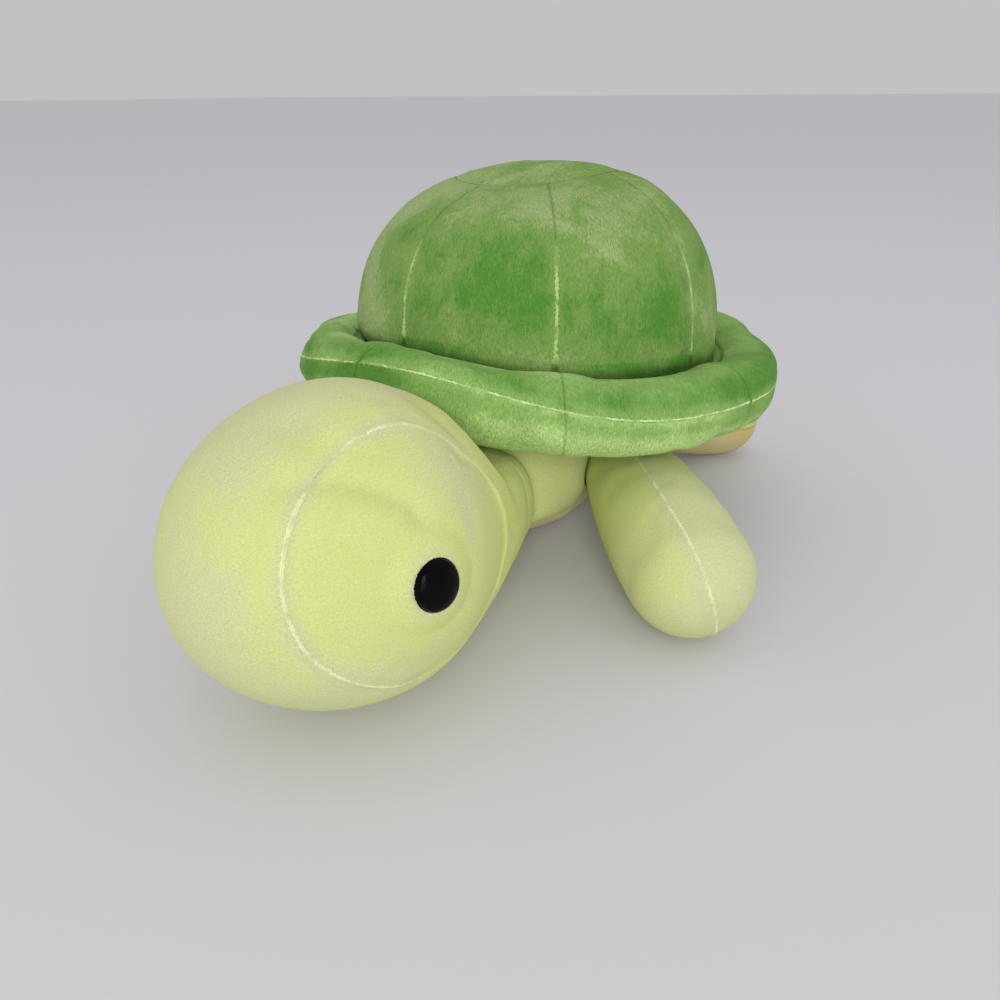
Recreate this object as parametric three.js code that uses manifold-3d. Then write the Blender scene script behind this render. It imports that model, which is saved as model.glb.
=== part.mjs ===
// Stuffed cloth turtle lying on its belly: body, neck, head, four flippers, tail and a domed shell with a
// rolled brim. Each is a cover of sewn panels round its own stuffing. Millimetres, +Z up, the face towards
// -Y, the turtle's left towards +X, the flat of the belly on the XY plane.
import * as THREE from "three";
import Module from "manifold-3d";

const wasm = await Module();
wasm.setup();

// Cloth and clearances
const clothThickness = 3; // short plush with its pile
const seamGap = 0.4; // between two panels along their seam
const fillGap = 0.9; // between a cover and its stuffing
const fitGap = 0.3; // between fixed parts
const neckGap = 0.95; // round the neck, which turns in the body and in the head
const rootGap = 1.3; // round the root of a limb
const flatDepth = 0.5; // how deep the toy's weight presses each underside flat
const seamDip = 1.2; // how far a seam draws its cover in
const overrun = 5; // how far a cutter runs past what it cuts
const swingMargin = 2.5; // round a limb as it swings
const rootOpenShare = 0.5; // of a limb's root radius: where its cover ends behind its centre
const reach = 400; // half size of the solids that stand for open space

// Body, an ovoid that is longest towards the neck and fullest at the back
const body = {
  halfWidth: 62,
  frontLength: 132,
  backLength: 96,
  middleHeight: 46,
  rise: 60,
  drop: 46.5,
  backFullness: 0.8,
  bellyFullness: 0.6,
  seamHeight: 19,
};

// Neck, a stuffed ball that the body and the head both close over
const neck = {
  x: 8,
  y: -107,
  z: 47,
  radius: 40,
  mouthAngle: 38,
  bodyLipAngle: 106,
  bodyLipTilt: 10,
  openLength: 120,
};

// Head, turned and rolled on the neck as it lies
const head = {
  x: 13.8,
  y: -194.6,
  z: 66.5,
  halfWidth: 66,
  faceLength: 78,
  napeLength: 56,
  halfHeight: 67,
  turn: -11.2,
  roll: 16,
  gussetHalfWidth: 44,
};

// Nape, where the head's cover narrows from its fullest round to a rim on the neck
const nape = {
  startForward: 12,
  startHalfWidth: 62,
  startHalfHeight: 62,
  rimForward: 7.5,
  rimRadius: 45.3,
  rimWall: 5,
  top: 78,
};

// Eyes, glossy oval domes on a stem that a washer holds inside the cloth
const eye = {
  forward: 11.4,
  drop: 6.9,
  halfHeight: 10.4,
  halfWidth: 9.6,
  dome: 4.2,
  rim: 1.8,
  seat: 0.9,
  crownShare: 0.05,
  stemRadius: 2.5,
  stemLength: 13,
};
const washer = { radius: 9, thickness: 2, holeGap: 0.3 };

// Shell dome of gores round a top panel, leaning back and to one side
const dome = {
  x: -2,
  halfWidth: 106.5,
  halfLength: 103,
  height: 102,
  overBrim: 13.5,
  fullness: 2.34,
  leanBack: -10.3,
  leanSide: -4.9,
  goreCount: 8,
  goreTurn: 32.9,
  topPanelRadius: 48,
  skirt: 16,
  skirtShare: 0.2,
  frontDip: 11,
  frontDipTurn: 10,
  frontDipPower: 1.5,
};

// Brim, a stuffed roll round the dome that the head lifts in front and that sags beside it
const brim = {
  sideSetOut: 14,
  endSetOut: 17.5,
  rollRadius: 20,
  height: 85,
  lift: 22,
  liftTurn: 8,
  liftSpread: 110,
  sag: 5,
  sagTurn: 36,
  sagSpread: 46,
  seamLift: 10,
  seamRise: 36,
  seamSpread: 60,
  wrapAngle: 150,
  innerShare: 0.6,
};

// Panel that closes the shell below, sagging towards its middle
const shellBase = { underBrim: 9, rimDrop: 14 };

// Limbs: a ball at the root that the body closes over, and a full round tip on the ground
const frontFlipper = {
  rootX: 62,
  rootY: -17,
  rootZ: 46,
  rootRadius: 22,
  tipX: 133.4,
  tipY: -96.2,
  tipHalfWidth: 30.6,
  tipHalfHeight: 30.6,
  swell: 3,
  seamTurn: 17,
  downSwing: 25,
  upSwing: 5,
};
const rearFlipper = {
  rootX: 50,
  rootY: 62,
  rootZ: 32,
  rootRadius: 20,
  tipX: 87,
  tipY: 113,
  tipHalfWidth: 29,
  tipHalfHeight: 27,
  swell: 1,
  downSwing: 20,
  upSwing: 5,
};
const tail = {
  rootX: 0,
  rootY: 82,
  rootZ: 26,
  rootRadius: 12,
  tipX: 0,
  tipY: 124,
  tipHalfWidth: 8,
  tipHalfHeight: 7,
  swell: 1,
  downSwing: 20,
  upSwing: 10,
};

// Facets
const ballFacets = { around: 18, along: 10 };
const socketFacets = { around: 12, along: 8 };
const stuffingFacets = { around: 18, along: 14 };
const neckStuffingFacets = { around: 14, along: 10 };
const bodyFacets = { around: 20, along: 14 };
const headFacets = { around: 22, along: 14 };
const limbFacets = { around: 12, cap: 3, flank: 3 };
const goreFacets = { across: 4, up: 5 };
const baseFacets = 2;
const brimFacets = { roll: 12, stuffing: 8, upper: 4, lower: 7 };
const napeFacets = 18;
const coneFacets = 4;
const eyeFacets = { around: 16, dome: 4 };

const limeCloth = { color: 0xc8d07a, roughness: 0.95, metalness: 0 };
const creamCloth = { color: 0xcfc795, roughness: 0.95, metalness: 0 };
const shellCloth = { color: 0x5fa83c, roughness: 0.95, metalness: 0 };
const brimCloth = { color: 0x84bd58, roughness: 0.95, metalness: 0 };
const fibre = { color: 0xf2f0ea, roughness: 1, metalness: 0 };
const blackPlastic = { color: 0x0d0b0d, roughness: 0.12, metalness: 0 };
const palePlastic = { color: 0xe8e6e0, roughness: 0.4, metalness: 0 };

const radians = THREE.MathUtils.degToRad;
const xAxis = new THREE.Vector3(1, 0, 0);
const yAxis = new THREE.Vector3(0, 1, 0);
const zAxis = new THREE.Vector3(0, 0, 1);

// Solids

function solidFrom(points, triangles) {
  return new wasm.Manifold(
    new wasm.Mesh({
      numProp: 3,
      vertProperties: new Float32Array(points.flatMap((p) => [p.x, p.y, p.z])),
      triVerts: new Uint32Array(triangles),
    }),
  );
}

function geometryFrom(solid) {
  const mesh = solid.getMesh();
  const positions = new Float32Array(mesh.numVert * 3);
  for (let i = 0; i < mesh.numVert; i++) {
    const start = i * mesh.numProp;
    positions.set(mesh.vertProperties.subarray(start, start + 3), i * 3);
  }
  const geometry = new THREE.BufferGeometry();
  geometry.setAttribute("position", new THREE.BufferAttribute(positions, 3));
  geometry.setIndex(new THREE.BufferAttribute(new Uint32Array(mesh.triVerts), 1));
  geometry.computeVertexNormals();
  return geometry;
}

function moved(solid, matrix) {
  return solid.transform(matrix.elements);
}

function boxAt(matrix, low, high) {
  const corners = [];
  for (const z of [low.z, high.z]) {
    for (const [x, y] of [[low.x, low.y], [high.x, low.y], [high.x, high.y], [low.x, high.y]]) {
      corners.push(new THREE.Vector3(x, y, z).applyMatrix4(matrix));
    }
  }
  const faces = [0, 2, 1, 0, 3, 2, 4, 5, 6, 4, 6, 7];
  for (let side = 0; side < 4; side++) {
    const next = (side + 1) % 4;
    faces.push(side, next, next + 4, side, next + 4, side + 4);
  }
  return solidFrom(corners, faces);
}

// The open space on the +Z side of a frame, from a height above its plane
function spaceAbove(matrix, height = 0) {
  return boxAt(matrix, new THREE.Vector3(-reach, -reach, height), new THREE.Vector3(reach, reach, reach));
}

// A closed skin over rings of points, with a point at each end
function ringSolid(startPoint, rings, endPoint) {
  const around = rings[0].length;
  const points = [startPoint, ...rings.flat(), endPoint];
  const last = points.length - 1;
  const at = (ring, side) => 1 + ring * around + (side % around);
  const faces = [];
  for (let side = 0; side < around; side++) {
    faces.push(0, at(0, side + 1), at(0, side));
    for (let ring = 0; ring + 1 < rings.length; ring++) {
      faces.push(at(ring, side), at(ring, side + 1), at(ring + 1, side + 1));
      faces.push(at(ring, side), at(ring + 1, side + 1), at(ring + 1, side));
    }
    faces.push(last, at(rings.length - 1, side), at(rings.length - 1, side + 1));
  }
  return solidFrom(points, faces);
}

// A closed ring of sections, such as the brim's roll
function hoopSolid(sections) {
  const around = sections[0].length;
  const faces = [];
  const at = (section, side) => (section % sections.length) * around + (side % around);
  for (let section = 0; section < sections.length; section++) {
    for (let side = 0; side < around; side++) {
      faces.push(at(section, side), at(section + 1, side), at(section + 1, side + 1));
      faces.push(at(section, side), at(section + 1, side + 1), at(section, side + 1));
    }
  }
  return solidFrom(sections.flat(), faces);
}

// A panel of cloth: pointAt(u, v, depth) with u to the right and v upwards, as seen from outside
function panelSolid(pointAt, across, up, thickness) {
  const points = [];
  for (const depth of [0, thickness]) {
    for (let row = 0; row <= up; row++) {
      for (let column = 0; column <= across; column++) {
        points.push(pointAt(column / across, row / up, depth));
      }
    }
  }
  const layer = (across + 1) * (up + 1);
  const at = (row, column) => row * (across + 1) + column;
  const faces = [];
  const edge = (a, b) => faces.push(a, b + layer, b, a, a + layer, b + layer);
  for (let row = 0; row < up; row++) {
    for (let column = 0; column < across; column++) {
      const [a, b, c, d] = [at(row, column), at(row, column + 1), at(row + 1, column + 1), at(row + 1, column)];
      faces.push(a, b, c, a, c, d);
      faces.push(a + layer, c + layer, b + layer, a + layer, d + layer, c + layer);
    }
    edge(at(row, across), at(row + 1, across));
    edge(at(row + 1, 0), at(row, 0));
  }
  for (let column = 0; column < across; column++) {
    edge(at(0, column), at(0, column + 1));
    edge(at(up, column + 1), at(up, column));
  }
  return solidFrom(points, faces);
}

// A ball-like solid whose rings run round the pole; surfaceAt takes a direction
function ballSolid(surfaceAt, pole, facets) {
  const side = Math.abs(pole.z) > Math.abs(pole.x) ? xAxis.clone() : zAxis.clone();
  const first = side.addScaledVector(pole, -side.dot(pole)).normalize();
  const second = new THREE.Vector3().crossVectors(pole, first);
  const rings = [];
  for (let ring = 1; ring < facets.along; ring++) {
    const polar = (Math.PI * ring) / facets.along;
    rings.push(
      Array.from({ length: facets.around }, (_, i) => {
        const turn = (2 * Math.PI * i) / facets.around;
        const direction = pole.clone().multiplyScalar(-Math.cos(polar));
        direction.addScaledVector(first, Math.sin(polar) * Math.cos(turn));
        direction.addScaledVector(second, Math.sin(polar) * Math.sin(turn));
        return surfaceAt(direction);
      }),
    );
  }
  return ringSolid(surfaceAt(pole.clone().negate()), rings, surfaceAt(pole));
}

function sphereAt(centre, radius, facets) {
  return ballSolid((direction) => direction.clone().multiplyScalar(radius).add(centre), yAxis, facets);
}

const ground = spaceAbove(new THREE.Matrix4().makeRotationX(Math.PI));

// Body form

function bodyForm(inset, facets = bodyFacets) {
  const middle = new THREE.Vector3(0, 0, body.middleHeight);
  const form = ballSolid(
    (direction) => {
      const length = direction.y < 0 ? body.frontLength : body.backLength;
      const height = direction.z < 0 ? body.drop : body.rise;
      const fullness = body.backFullness * Math.max(direction.y, 0);
      const power = 2 + fullness + body.bellyFullness * Math.max(-direction.z, 0);
      const sum = [direction.x, direction.y, direction.z].map((share) => Math.abs(share) ** power);
      const swell = (sum[0] + sum[1] + sum[2]) ** (-1 / power);
      return new THREE.Vector3(
        direction.x * swell * (body.halfWidth - inset),
        direction.y * swell * (length - inset),
        direction.z * swell * (height - inset),
      ).add(middle);
    },
    yAxis,
    facets,
  );
  return form.subtract(moved(ground, new THREE.Matrix4().makeTranslation(0, 0, inset)));
}

// Shell forms

const domeMatrix = new THREE.Matrix4().makeTranslation(dome.x, 0, brim.height + dome.overBrim).multiply(
  new THREE.Matrix4().makeRotationY(radians(dome.leanSide)).multiply(
    new THREE.Matrix4().makeRotationX(radians(dome.leanBack)),
  ),
);

// A point of the dome at a turn from the face towards the turtle's left and a height share up its curve
function domePoint(turn, climb, inset) {
  const width = Math.cos(climb) ** (2 / dome.fullness);
  const height = Math.sin(climb) ** (2 / dome.fullness);
  const facing = Math.max(Math.cos(turn - radians(dome.frontDipTurn)), 0);
  const dip = dome.frontDip * facing ** dome.frontDipPower * Math.sin(Math.PI * width);
  return new THREE.Vector3(
    Math.sin(turn) * width * (dome.halfWidth - inset),
    -Math.cos(turn) * width * (dome.halfLength - inset),
    height * (dome.height - inset) - dip,
  );
}

const goreAngle = (2 * Math.PI) / dome.goreCount;
const firstSeam = radians(dome.goreTurn);
const topShare = dome.topPanelRadius / dome.halfWidth;
const topClimb = Math.acos(topShare ** (dome.fullness / 2));
const crownClimb = (topClimb + Math.PI / 2) / 2;

// How deep the seams draw a gore in at a turn round the shell: full at a seam, none between two
function seamDraw(turn) {
  const place = (turn - firstSeam) / goreAngle;
  const share = Math.abs(place - Math.round(place)) * 2;
  return seamDip * (1 - share) ** 2;
}

// The dome below its middle plane runs straight down as a skirt
function domeSurface(turn, share, inset) {
  if (share < dome.skirtShare) {
    const foot = domePoint(turn, 0, inset + seamDraw(turn));
    foot.z = -dome.skirt * (1 - share / dome.skirtShare);
    return foot;
  }
  const climb = (topClimb * (share - dome.skirtShare)) / (1 - dome.skirtShare);
  return domePoint(turn, climb, inset + seamDraw(turn));
}

function domeForm(inset) {
  const around = dome.goreCount * goreFacets.across;
  const rings = [];
  const ringAt = (pointAt) =>
    Array.from({ length: around }, (_, i) => pointAt(firstSeam + (2 * Math.PI * i) / around));
  rings.push(ringAt((turn) => domePoint(turn, 0, inset).setZ(-dome.skirt - shellBase.rimDrop - brim.lift)));
  for (let step = 1; step <= goreFacets.up; step++) {
    rings.push(ringAt((turn) => domeSurface(turn, step / goreFacets.up, inset)));
  }
  rings.push(ringAt((turn) => domePoint(turn, crownClimb, inset)));
  const foot = new THREE.Vector3(0, 0, rings[0][0].z);
  const top = new THREE.Vector3(0, 0, dome.height - inset);
  return moved(ringSolid(foot, rings, top), domeMatrix);
}

function waveAt(turn, middle, spread) {
  const offset = Math.atan2(Math.sin(turn - middle), Math.cos(turn - middle));
  const share = Math.min(Math.abs(offset) / spread, 1);
  return 0.5 + 0.5 * Math.cos(Math.PI * share);
}

const ringHalfWidth = dome.halfWidth + brim.sideSetOut;
const ringHalfLength = dome.halfLength + brim.endSetOut;

function brimHeight(turn) {
  const lifted = brim.lift * waveAt(turn, radians(brim.liftTurn), radians(brim.liftSpread));
  const sagged = brim.sag * waveAt(turn, radians(brim.sagTurn), radians(brim.sagSpread));
  return brim.height + lifted - sagged;
}

// The angle round the roll at which the seam between its strips lies
function brimSeamAngle(turn) {
  const raised = brim.seamRise * waveAt(turn, 0, radians(brim.seamSpread));
  return radians(brim.seamLift + raised);
}

// A point of the roll: angle 0 faces outwards and 90 degrees faces up
function brimPoint(turn, angle, inset) {
  const radius = brim.rollRadius - inset - seamDraw(turn);
  const out = radius * Math.cos(angle);
  return new THREE.Vector3(
    Math.sin(turn) * (ringHalfWidth + out),
    -Math.cos(turn) * (ringHalfLength + out),
    brimHeight(turn) + radius * Math.sin(angle),
  );
}

function hoopSections(sectionAt) {
  const count = dome.goreCount * goreFacets.across;
  return Array.from({ length: count }, (_, i) => sectionAt(firstSeam + (2 * Math.PI * i) / count));
}

function brimForm(inset, facets = brimFacets.roll) {
  return hoopSolid(
    hoopSections((turn) =>
      Array.from({ length: facets }, (_, i) => brimPoint(turn, (2 * Math.PI * i) / facets, inset)),
    ),
  );
}

// The roll with the space below and inside it, which ends the gores where they meet the roll
function brimZone(inset) {
  const steps = Math.round((brimFacets.roll * brim.wrapAngle) / 360);
  return hoopSolid(
    hoopSections((turn) => {
      const arc = Array.from({ length: steps + 1 }, (_, i) => {
        return brimPoint(turn, (2 * Math.PI * i) / brimFacets.roll, inset);
      });
      const inner = arc[steps].clone();
      inner.x *= brim.innerShare;
      inner.y *= brim.innerShare;
      return [...arc, inner, inner.clone().setZ(0), arc[0].clone().setZ(0)];
    }),
  );
}

function baseHeight(turn, share) {
  const middleHeight = brim.height - shellBase.underBrim;
  return THREE.MathUtils.lerp(middleHeight, brimHeight(turn) - shellBase.rimDrop, share ** 2);
}

// A round slab that follows the base panel, between two heights over it, with a level edge beyond it
function baseSlab(low, high, edge) {
  const around = dome.goreCount * goreFacets.across;
  const shares = Array.from({ length: baseFacets }, (_, i) => (i + 1) / baseFacets);
  if (edge > 0) {
    shares.push(1 + edge / dome.halfWidth);
  }
  const ringAt = (share, offset) =>
    Array.from({ length: around }, (_, i) => {
      const turn = firstSeam + (2 * Math.PI * i) / around;
      const x = Math.sin(turn) * share * (ringHalfWidth - brim.sideSetOut);
      const y = -Math.cos(turn) * share * (ringHalfLength - brim.sideSetOut);
      return new THREE.Vector3(x, y, baseHeight(turn, Math.min(share, 1)) + offset);
    });
  const rings = [
    ...shares.map((share) => ringAt(share, low)),
    ...shares.map((share) => ringAt(share, high)).reverse(),
  ];
  const foot = new THREE.Vector3(0, 0, baseHeight(0, 0) + low);
  const top = new THREE.Vector3(0, 0, baseHeight(0, 0) + high);
  return ringSolid(foot, rings, top);
}

// Limb form: a spine from the root ball to the tip, with rings square to it

function limbFrame(limb, side) {
  const root = new THREE.Vector3(limb.rootX * side, limb.rootY, limb.rootZ);
  const tip = new THREE.Vector3(limb.tipX * side, limb.tipY, limb.tipHalfHeight - flatDepth);
  const along = tip.clone().sub(root);
  const length = along.length();
  along.normalize();
  const across = new THREE.Vector3().crossVectors(zAxis, along).normalize();
  const lift = new THREE.Vector3().crossVectors(along, across);
  const matrix = new THREE.Matrix4().makeBasis(along, across, lift).setPosition(root);
  return { root, tip, along, across, lift, length, matrix };
}

function limbSize(limb, share, inset) {
  const blend = THREE.MathUtils.smoothstep(share, 0, 1);
  const swell = limb.swell * Math.sin(Math.PI * share) - inset;
  return {
    halfWidth: THREE.MathUtils.lerp(limb.rootRadius, limb.tipHalfWidth, blend) + swell,
    halfHeight: THREE.MathUtils.lerp(limb.rootRadius, limb.tipHalfHeight, blend) + swell,
  };
}

function limbForm(limb, side, inset) {
  const frame = limbFrame(limb, side);
  const ringAt = (distance, halfWidth, halfHeight) =>
    Array.from({ length: limbFacets.around }, (_, i) => {
      const turn = (2 * Math.PI * i) / limbFacets.around;
      const y = Math.cos(turn) * halfWidth;
      const z = Math.sin(turn) * halfHeight;
      return new THREE.Vector3(distance, y, z).applyMatrix4(frame.matrix);
    });
  const rootRadius = limb.rootRadius - inset;
  const tipWidth = limb.tipHalfWidth - inset;
  const tipHeight = limb.tipHalfHeight - inset;
  const rings = [];
  for (let step = 1; step <= limbFacets.cap; step++) {
    const angle = (Math.PI / 2) * (step / limbFacets.cap);
    const radius = rootRadius * Math.sin(angle);
    rings.push(ringAt(-rootRadius * Math.cos(angle), radius, radius));
  }
  for (let step = 1; step <= limbFacets.flank; step++) {
    const share = step / (limbFacets.flank + 1);
    const size = limbSize(limb, share, inset);
    rings.push(ringAt(frame.length * share, size.halfWidth, size.halfHeight));
  }
  for (let step = 0; step < limbFacets.cap; step++) {
    const angle = (Math.PI / 2) * (step / limbFacets.cap);
    const distance = frame.length + tipWidth * Math.sin(angle);
    rings.push(ringAt(distance, tipWidth * Math.cos(angle), tipHeight * Math.cos(angle)));
  }
  const start = new THREE.Vector3(-rootRadius, 0, 0).applyMatrix4(frame.matrix);
  const end = new THREE.Vector3(frame.length + tipWidth, 0, 0).applyMatrix4(frame.matrix);
  return ringSolid(start, rings, end);
}

// The opening that a limb swings in: a socket for its root and, beyond it, the limb's section with its upper
// half swung up and its lower half swung down
function limbMouth(limb, side) {
  const { root, along, across, lift, length } = limbFrame(limb, side);
  const pointAt = (distance, width, height) => {
    const swing = radians(height > 0 ? limb.upSwing : -limb.downSwing);
    const forward = distance * Math.cos(swing) - height * Math.sin(swing);
    const upward = distance * Math.sin(swing) + height * Math.cos(swing);
    return root
      .clone()
      .addScaledVector(along, forward)
      .addScaledVector(across, width)
      .addScaledVector(lift, upward);
  };
  const rings = [];
  for (let step = 0; step <= limbFacets.flank; step++) {
    const share = step / limbFacets.flank;
    const size = limbSize(limb, share, -swingMargin);
    rings.push(
      Array.from({ length: limbFacets.around }, (_, i) => {
        const turn = (2 * Math.PI * (i + 0.5)) / limbFacets.around;
        return pointAt(share * length, Math.cos(turn) * size.halfWidth, Math.sin(turn) * size.halfHeight);
      }),
    );
  }
  const socket = sphereAt(root, limb.rootRadius + rootGap, socketFacets);
  return ringSolid(root, rings, root.clone().addScaledVector(along, length)).add(socket);
}

// Head form, in the head's own frame: x to its left, -y to its face, z to its crown

const headMatrix = new THREE.Matrix4().makeTranslation(head.x, head.y, head.z).multiply(
  new THREE.Matrix4().makeRotationZ(radians(head.turn)).multiply(
    new THREE.Matrix4().makeRotationY(radians(-head.roll)),
  ),
);

function headForm(inset, facets = headFacets) {
  const seamPolar = Math.acos(head.gussetHalfWidth / head.halfWidth);
  const seamSpread = Math.PI / headFacets.along;
  return moved(
    ballSolid(
      (direction) => {
        const polar = Math.acos(Math.min(Math.abs(direction.x), 1));
        const share = Math.min(Math.abs(polar - seamPolar) / seamSpread, 1);
        const depth = inset + seamDip * (1 - share);
        const length = direction.y < 0 ? head.faceLength : head.napeLength;
        return new THREE.Vector3(
          direction.x * (head.halfWidth - depth),
          direction.y * (length - depth),
          direction.z * (head.halfHeight - depth),
        );
      },
      xAxis,
      facets,
    ),
    headMatrix,
  );
}

// Neck forms

const neckCentre = new THREE.Vector3(neck.x, neck.y, neck.z);

function aboutNeck(turning) {
  const there = new THREE.Matrix4().setPosition(neckCentre);
  return there.clone().multiply(turning).multiply(there.invert());
}

function neckBall(growth, facets = ballFacets) {
  return sphereAt(neckCentre, neck.radius + growth, facets);
}

// A cone of open space with its point at the neck's centre, within an angle of a direction along Y
function neckCone(angle, sense) {
  const rings = [];
  const ringAt = (polar, length) =>
    Array.from({ length: ballFacets.around }, (_, i) => {
      const turn = (2 * Math.PI * i * sense) / ballFacets.around;
      const radius = length * Math.sin(polar);
      const forward = sense * length * Math.cos(polar);
      const point = new THREE.Vector3(Math.cos(turn) * radius, forward, -Math.sin(turn) * radius);
      return point.add(neckCentre);
    });
  for (let step = 0; step < coneFacets; step++) {
    rings.push(ringAt(radians(angle) * (1 - step / coneFacets), neck.openLength));
  }
  const far = neckCentre.clone().add(new THREE.Vector3(0, sense * neck.openLength, 0));
  return ringSolid(neckCentre, rings, far);
}

// Assembly

const turtle = new THREE.Group();
turtle.name = "turtle";

function groupAt(parent, matrix) {
  const group = new THREE.Group();
  matrix.decompose(group.position, group.quaternion, group.scale);
  parent.add(group);
  group.updateMatrixWorld(true);
  return group;
}

// A cut can leave loose crumbs beside a piece, so only its largest part is kept
function addPiece(group, name, solid, look) {
  const [whole] = solid.decompose().sort((a, b) => b.volume() - a.volume());
  const local = moved(whole, group.matrixWorld.clone().invert());
  const mesh = new THREE.Mesh(geometryFrom(local), new THREE.MeshStandardMaterial(look));
  mesh.name = name;
  group.add(mesh);
}

const unturned = new THREE.Matrix4();
const coverInset = clothThickness;
const stuffingInset = clothThickness + fillGap;
const limbs = [
  ["front_flipper_left", frontFlipper, 1],
  ["front_flipper_right", frontFlipper, -1],
  ["rear_flipper_left", rearFlipper, 1],
  ["rear_flipper_right", rearFlipper, -1],
  ["tail", tail, 1],
];

function buildBody() {
  const group = groupAt(turtle, unturned);
  const shellSpace = baseSlab(-clothThickness - fitGap, reach, overrun);
  const tilt = aboutNeck(new THREE.Matrix4().makeRotationX(radians(neck.bodyLipTilt)));
  let openings = moved(neckCone(neck.bodyLipAngle, -1), tilt).add(neckBall(neckGap));
  for (const [, limb, side] of limbs) {
    openings = openings.add(limbMouth(limb, side));
  }
  const down = (inset) => moved(shellSpace, new THREE.Matrix4().makeTranslation(0, 0, -inset));
  const outer = bodyForm(0).subtract(down(0));
  const inner = bodyForm(coverInset).subtract(down(coverInset));
  const stuffing = bodyForm(stuffingInset, stuffingFacets).subtract(down(stuffingInset));
  const cover = outer.subtract(inner).subtract(openings);
  const seam = new THREE.Matrix4().makeTranslation(0, 0, body.seamHeight);
  addPiece(group, "body_back_panel", cover.intersect(spaceAbove(seam, seamGap / 2)), limeCloth);
  addPiece(group, "body_belly_panel", cover.subtract(spaceAbove(seam, -seamGap / 2)), creamCloth);
  addPiece(group, "body_stuffing", stuffing.subtract(openings), fibre);
}

function buildNeck() {
  const group = groupAt(turtle, new THREE.Matrix4().makeTranslation(neck.x, neck.y, neck.z));
  const mouths = neckCone(neck.mouthAngle, -1).add(neckCone(neck.mouthAngle, 1));
  const sleeve = neckBall(0).subtract(neckBall(-coverInset)).subtract(mouths);
  addPiece(group, "neck_sleeve", sleeve, limeCloth);
  addPiece(group, "neck_stuffing", neckBall(-stuffingInset, neckStuffingFacets), fibre);
}

// The eye's frame on the head's side, with +Z out of the cloth and +Y towards the crown
function eyeMatrix(side) {
  const lengthShare = -eye.forward / head.faceLength;
  const heightShare = -eye.drop / head.halfHeight;
  const widthShare = Math.sqrt(1 - lengthShare ** 2 - heightShare ** 2);
  const place = new THREE.Vector3(side * widthShare * head.halfWidth, -eye.forward, -eye.drop);
  const out = new THREE.Vector3(
    (side * widthShare) / head.halfWidth,
    lengthShare / head.faceLength,
    heightShare / head.halfHeight,
  ).normalize();
  const right = new THREE.Vector3().crossVectors(zAxis, out).normalize();
  const up = new THREE.Vector3().crossVectors(out, right);
  return headMatrix.clone().multiply(new THREE.Matrix4().makeBasis(right, up, out).setPosition(place));
}

// Rings of an oval button round +Z: pairs of a width share and a height
function turnedSolid(profile, halfWidth, halfHeight, around) {
  const rings = profile.map(([share, z]) =>
    Array.from({ length: around }, (_, i) => {
      const turn = (2 * Math.PI * i) / around;
      return new THREE.Vector3(Math.cos(turn) * halfWidth * share, Math.sin(turn) * halfHeight * share, z);
    }),
  );
  const foot = new THREE.Vector3(0, 0, profile[0][1]);
  const top = new THREE.Vector3(0, 0, profile.at(-1)[1]);
  return ringSolid(foot, rings, top);
}

function eyeSolid() {
  const rimTop = eye.rim - eye.seat;
  const profile = [[1, -eye.seat], [1, rimTop]];
  for (let step = 1; step < eyeFacets.dome; step++) {
    const angle = (Math.PI / 2) * (step / eyeFacets.dome);
    profile.push([Math.cos(angle), rimTop + eye.dome * Math.sin(angle)]);
  }
  profile.push([eye.crownShare, rimTop + eye.dome]);
  const button = turnedSolid(profile, eye.halfWidth, eye.halfHeight, eyeFacets.around);
  return button.add(roundSolid(fitGap - eye.seat, -eye.stemLength, eye.stemRadius));
}

function roundSolid(high, low, radius) {
  return turnedSolid([[1, low], [1, high]], radius, radius, eyeFacets.around);
}

// The nape between the head's fullest round and the rim on the neck, level on top to pass under the brim
function napeForm(inset) {
  const wall = inset > 0 ? nape.rimWall + inset - clothThickness : 0;
  const rimCentre = neckCentre.clone().add(new THREE.Vector3(0, -nape.rimForward - wall, 0));
  const startCentre = new THREE.Vector3(0, nape.startForward, 0);
  const rings = [1, 0].map((share) =>
    Array.from({ length: napeFacets }, (_, i) => {
      const turn = (2 * Math.PI * i) / napeFacets;
      const start = new THREE.Vector3(
        Math.cos(turn) * (nape.startHalfWidth - inset),
        0,
        Math.sin(turn) * (nape.startHalfHeight - inset),
      );
      const rim = new THREE.Vector3(Math.cos(turn), 0, Math.sin(turn)).multiplyScalar(nape.rimRadius - inset);
      start.add(startCentre).applyMatrix4(headMatrix);
      return start.lerp(rim.add(rimCentre), share);
    }),
  );
  const form = ringSolid(rimCentre, rings, startCentre.clone().applyMatrix4(headMatrix));
  return form.subtract(spaceAbove(new THREE.Matrix4().makeTranslation(0, 0, nape.top - inset)));
}

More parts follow.
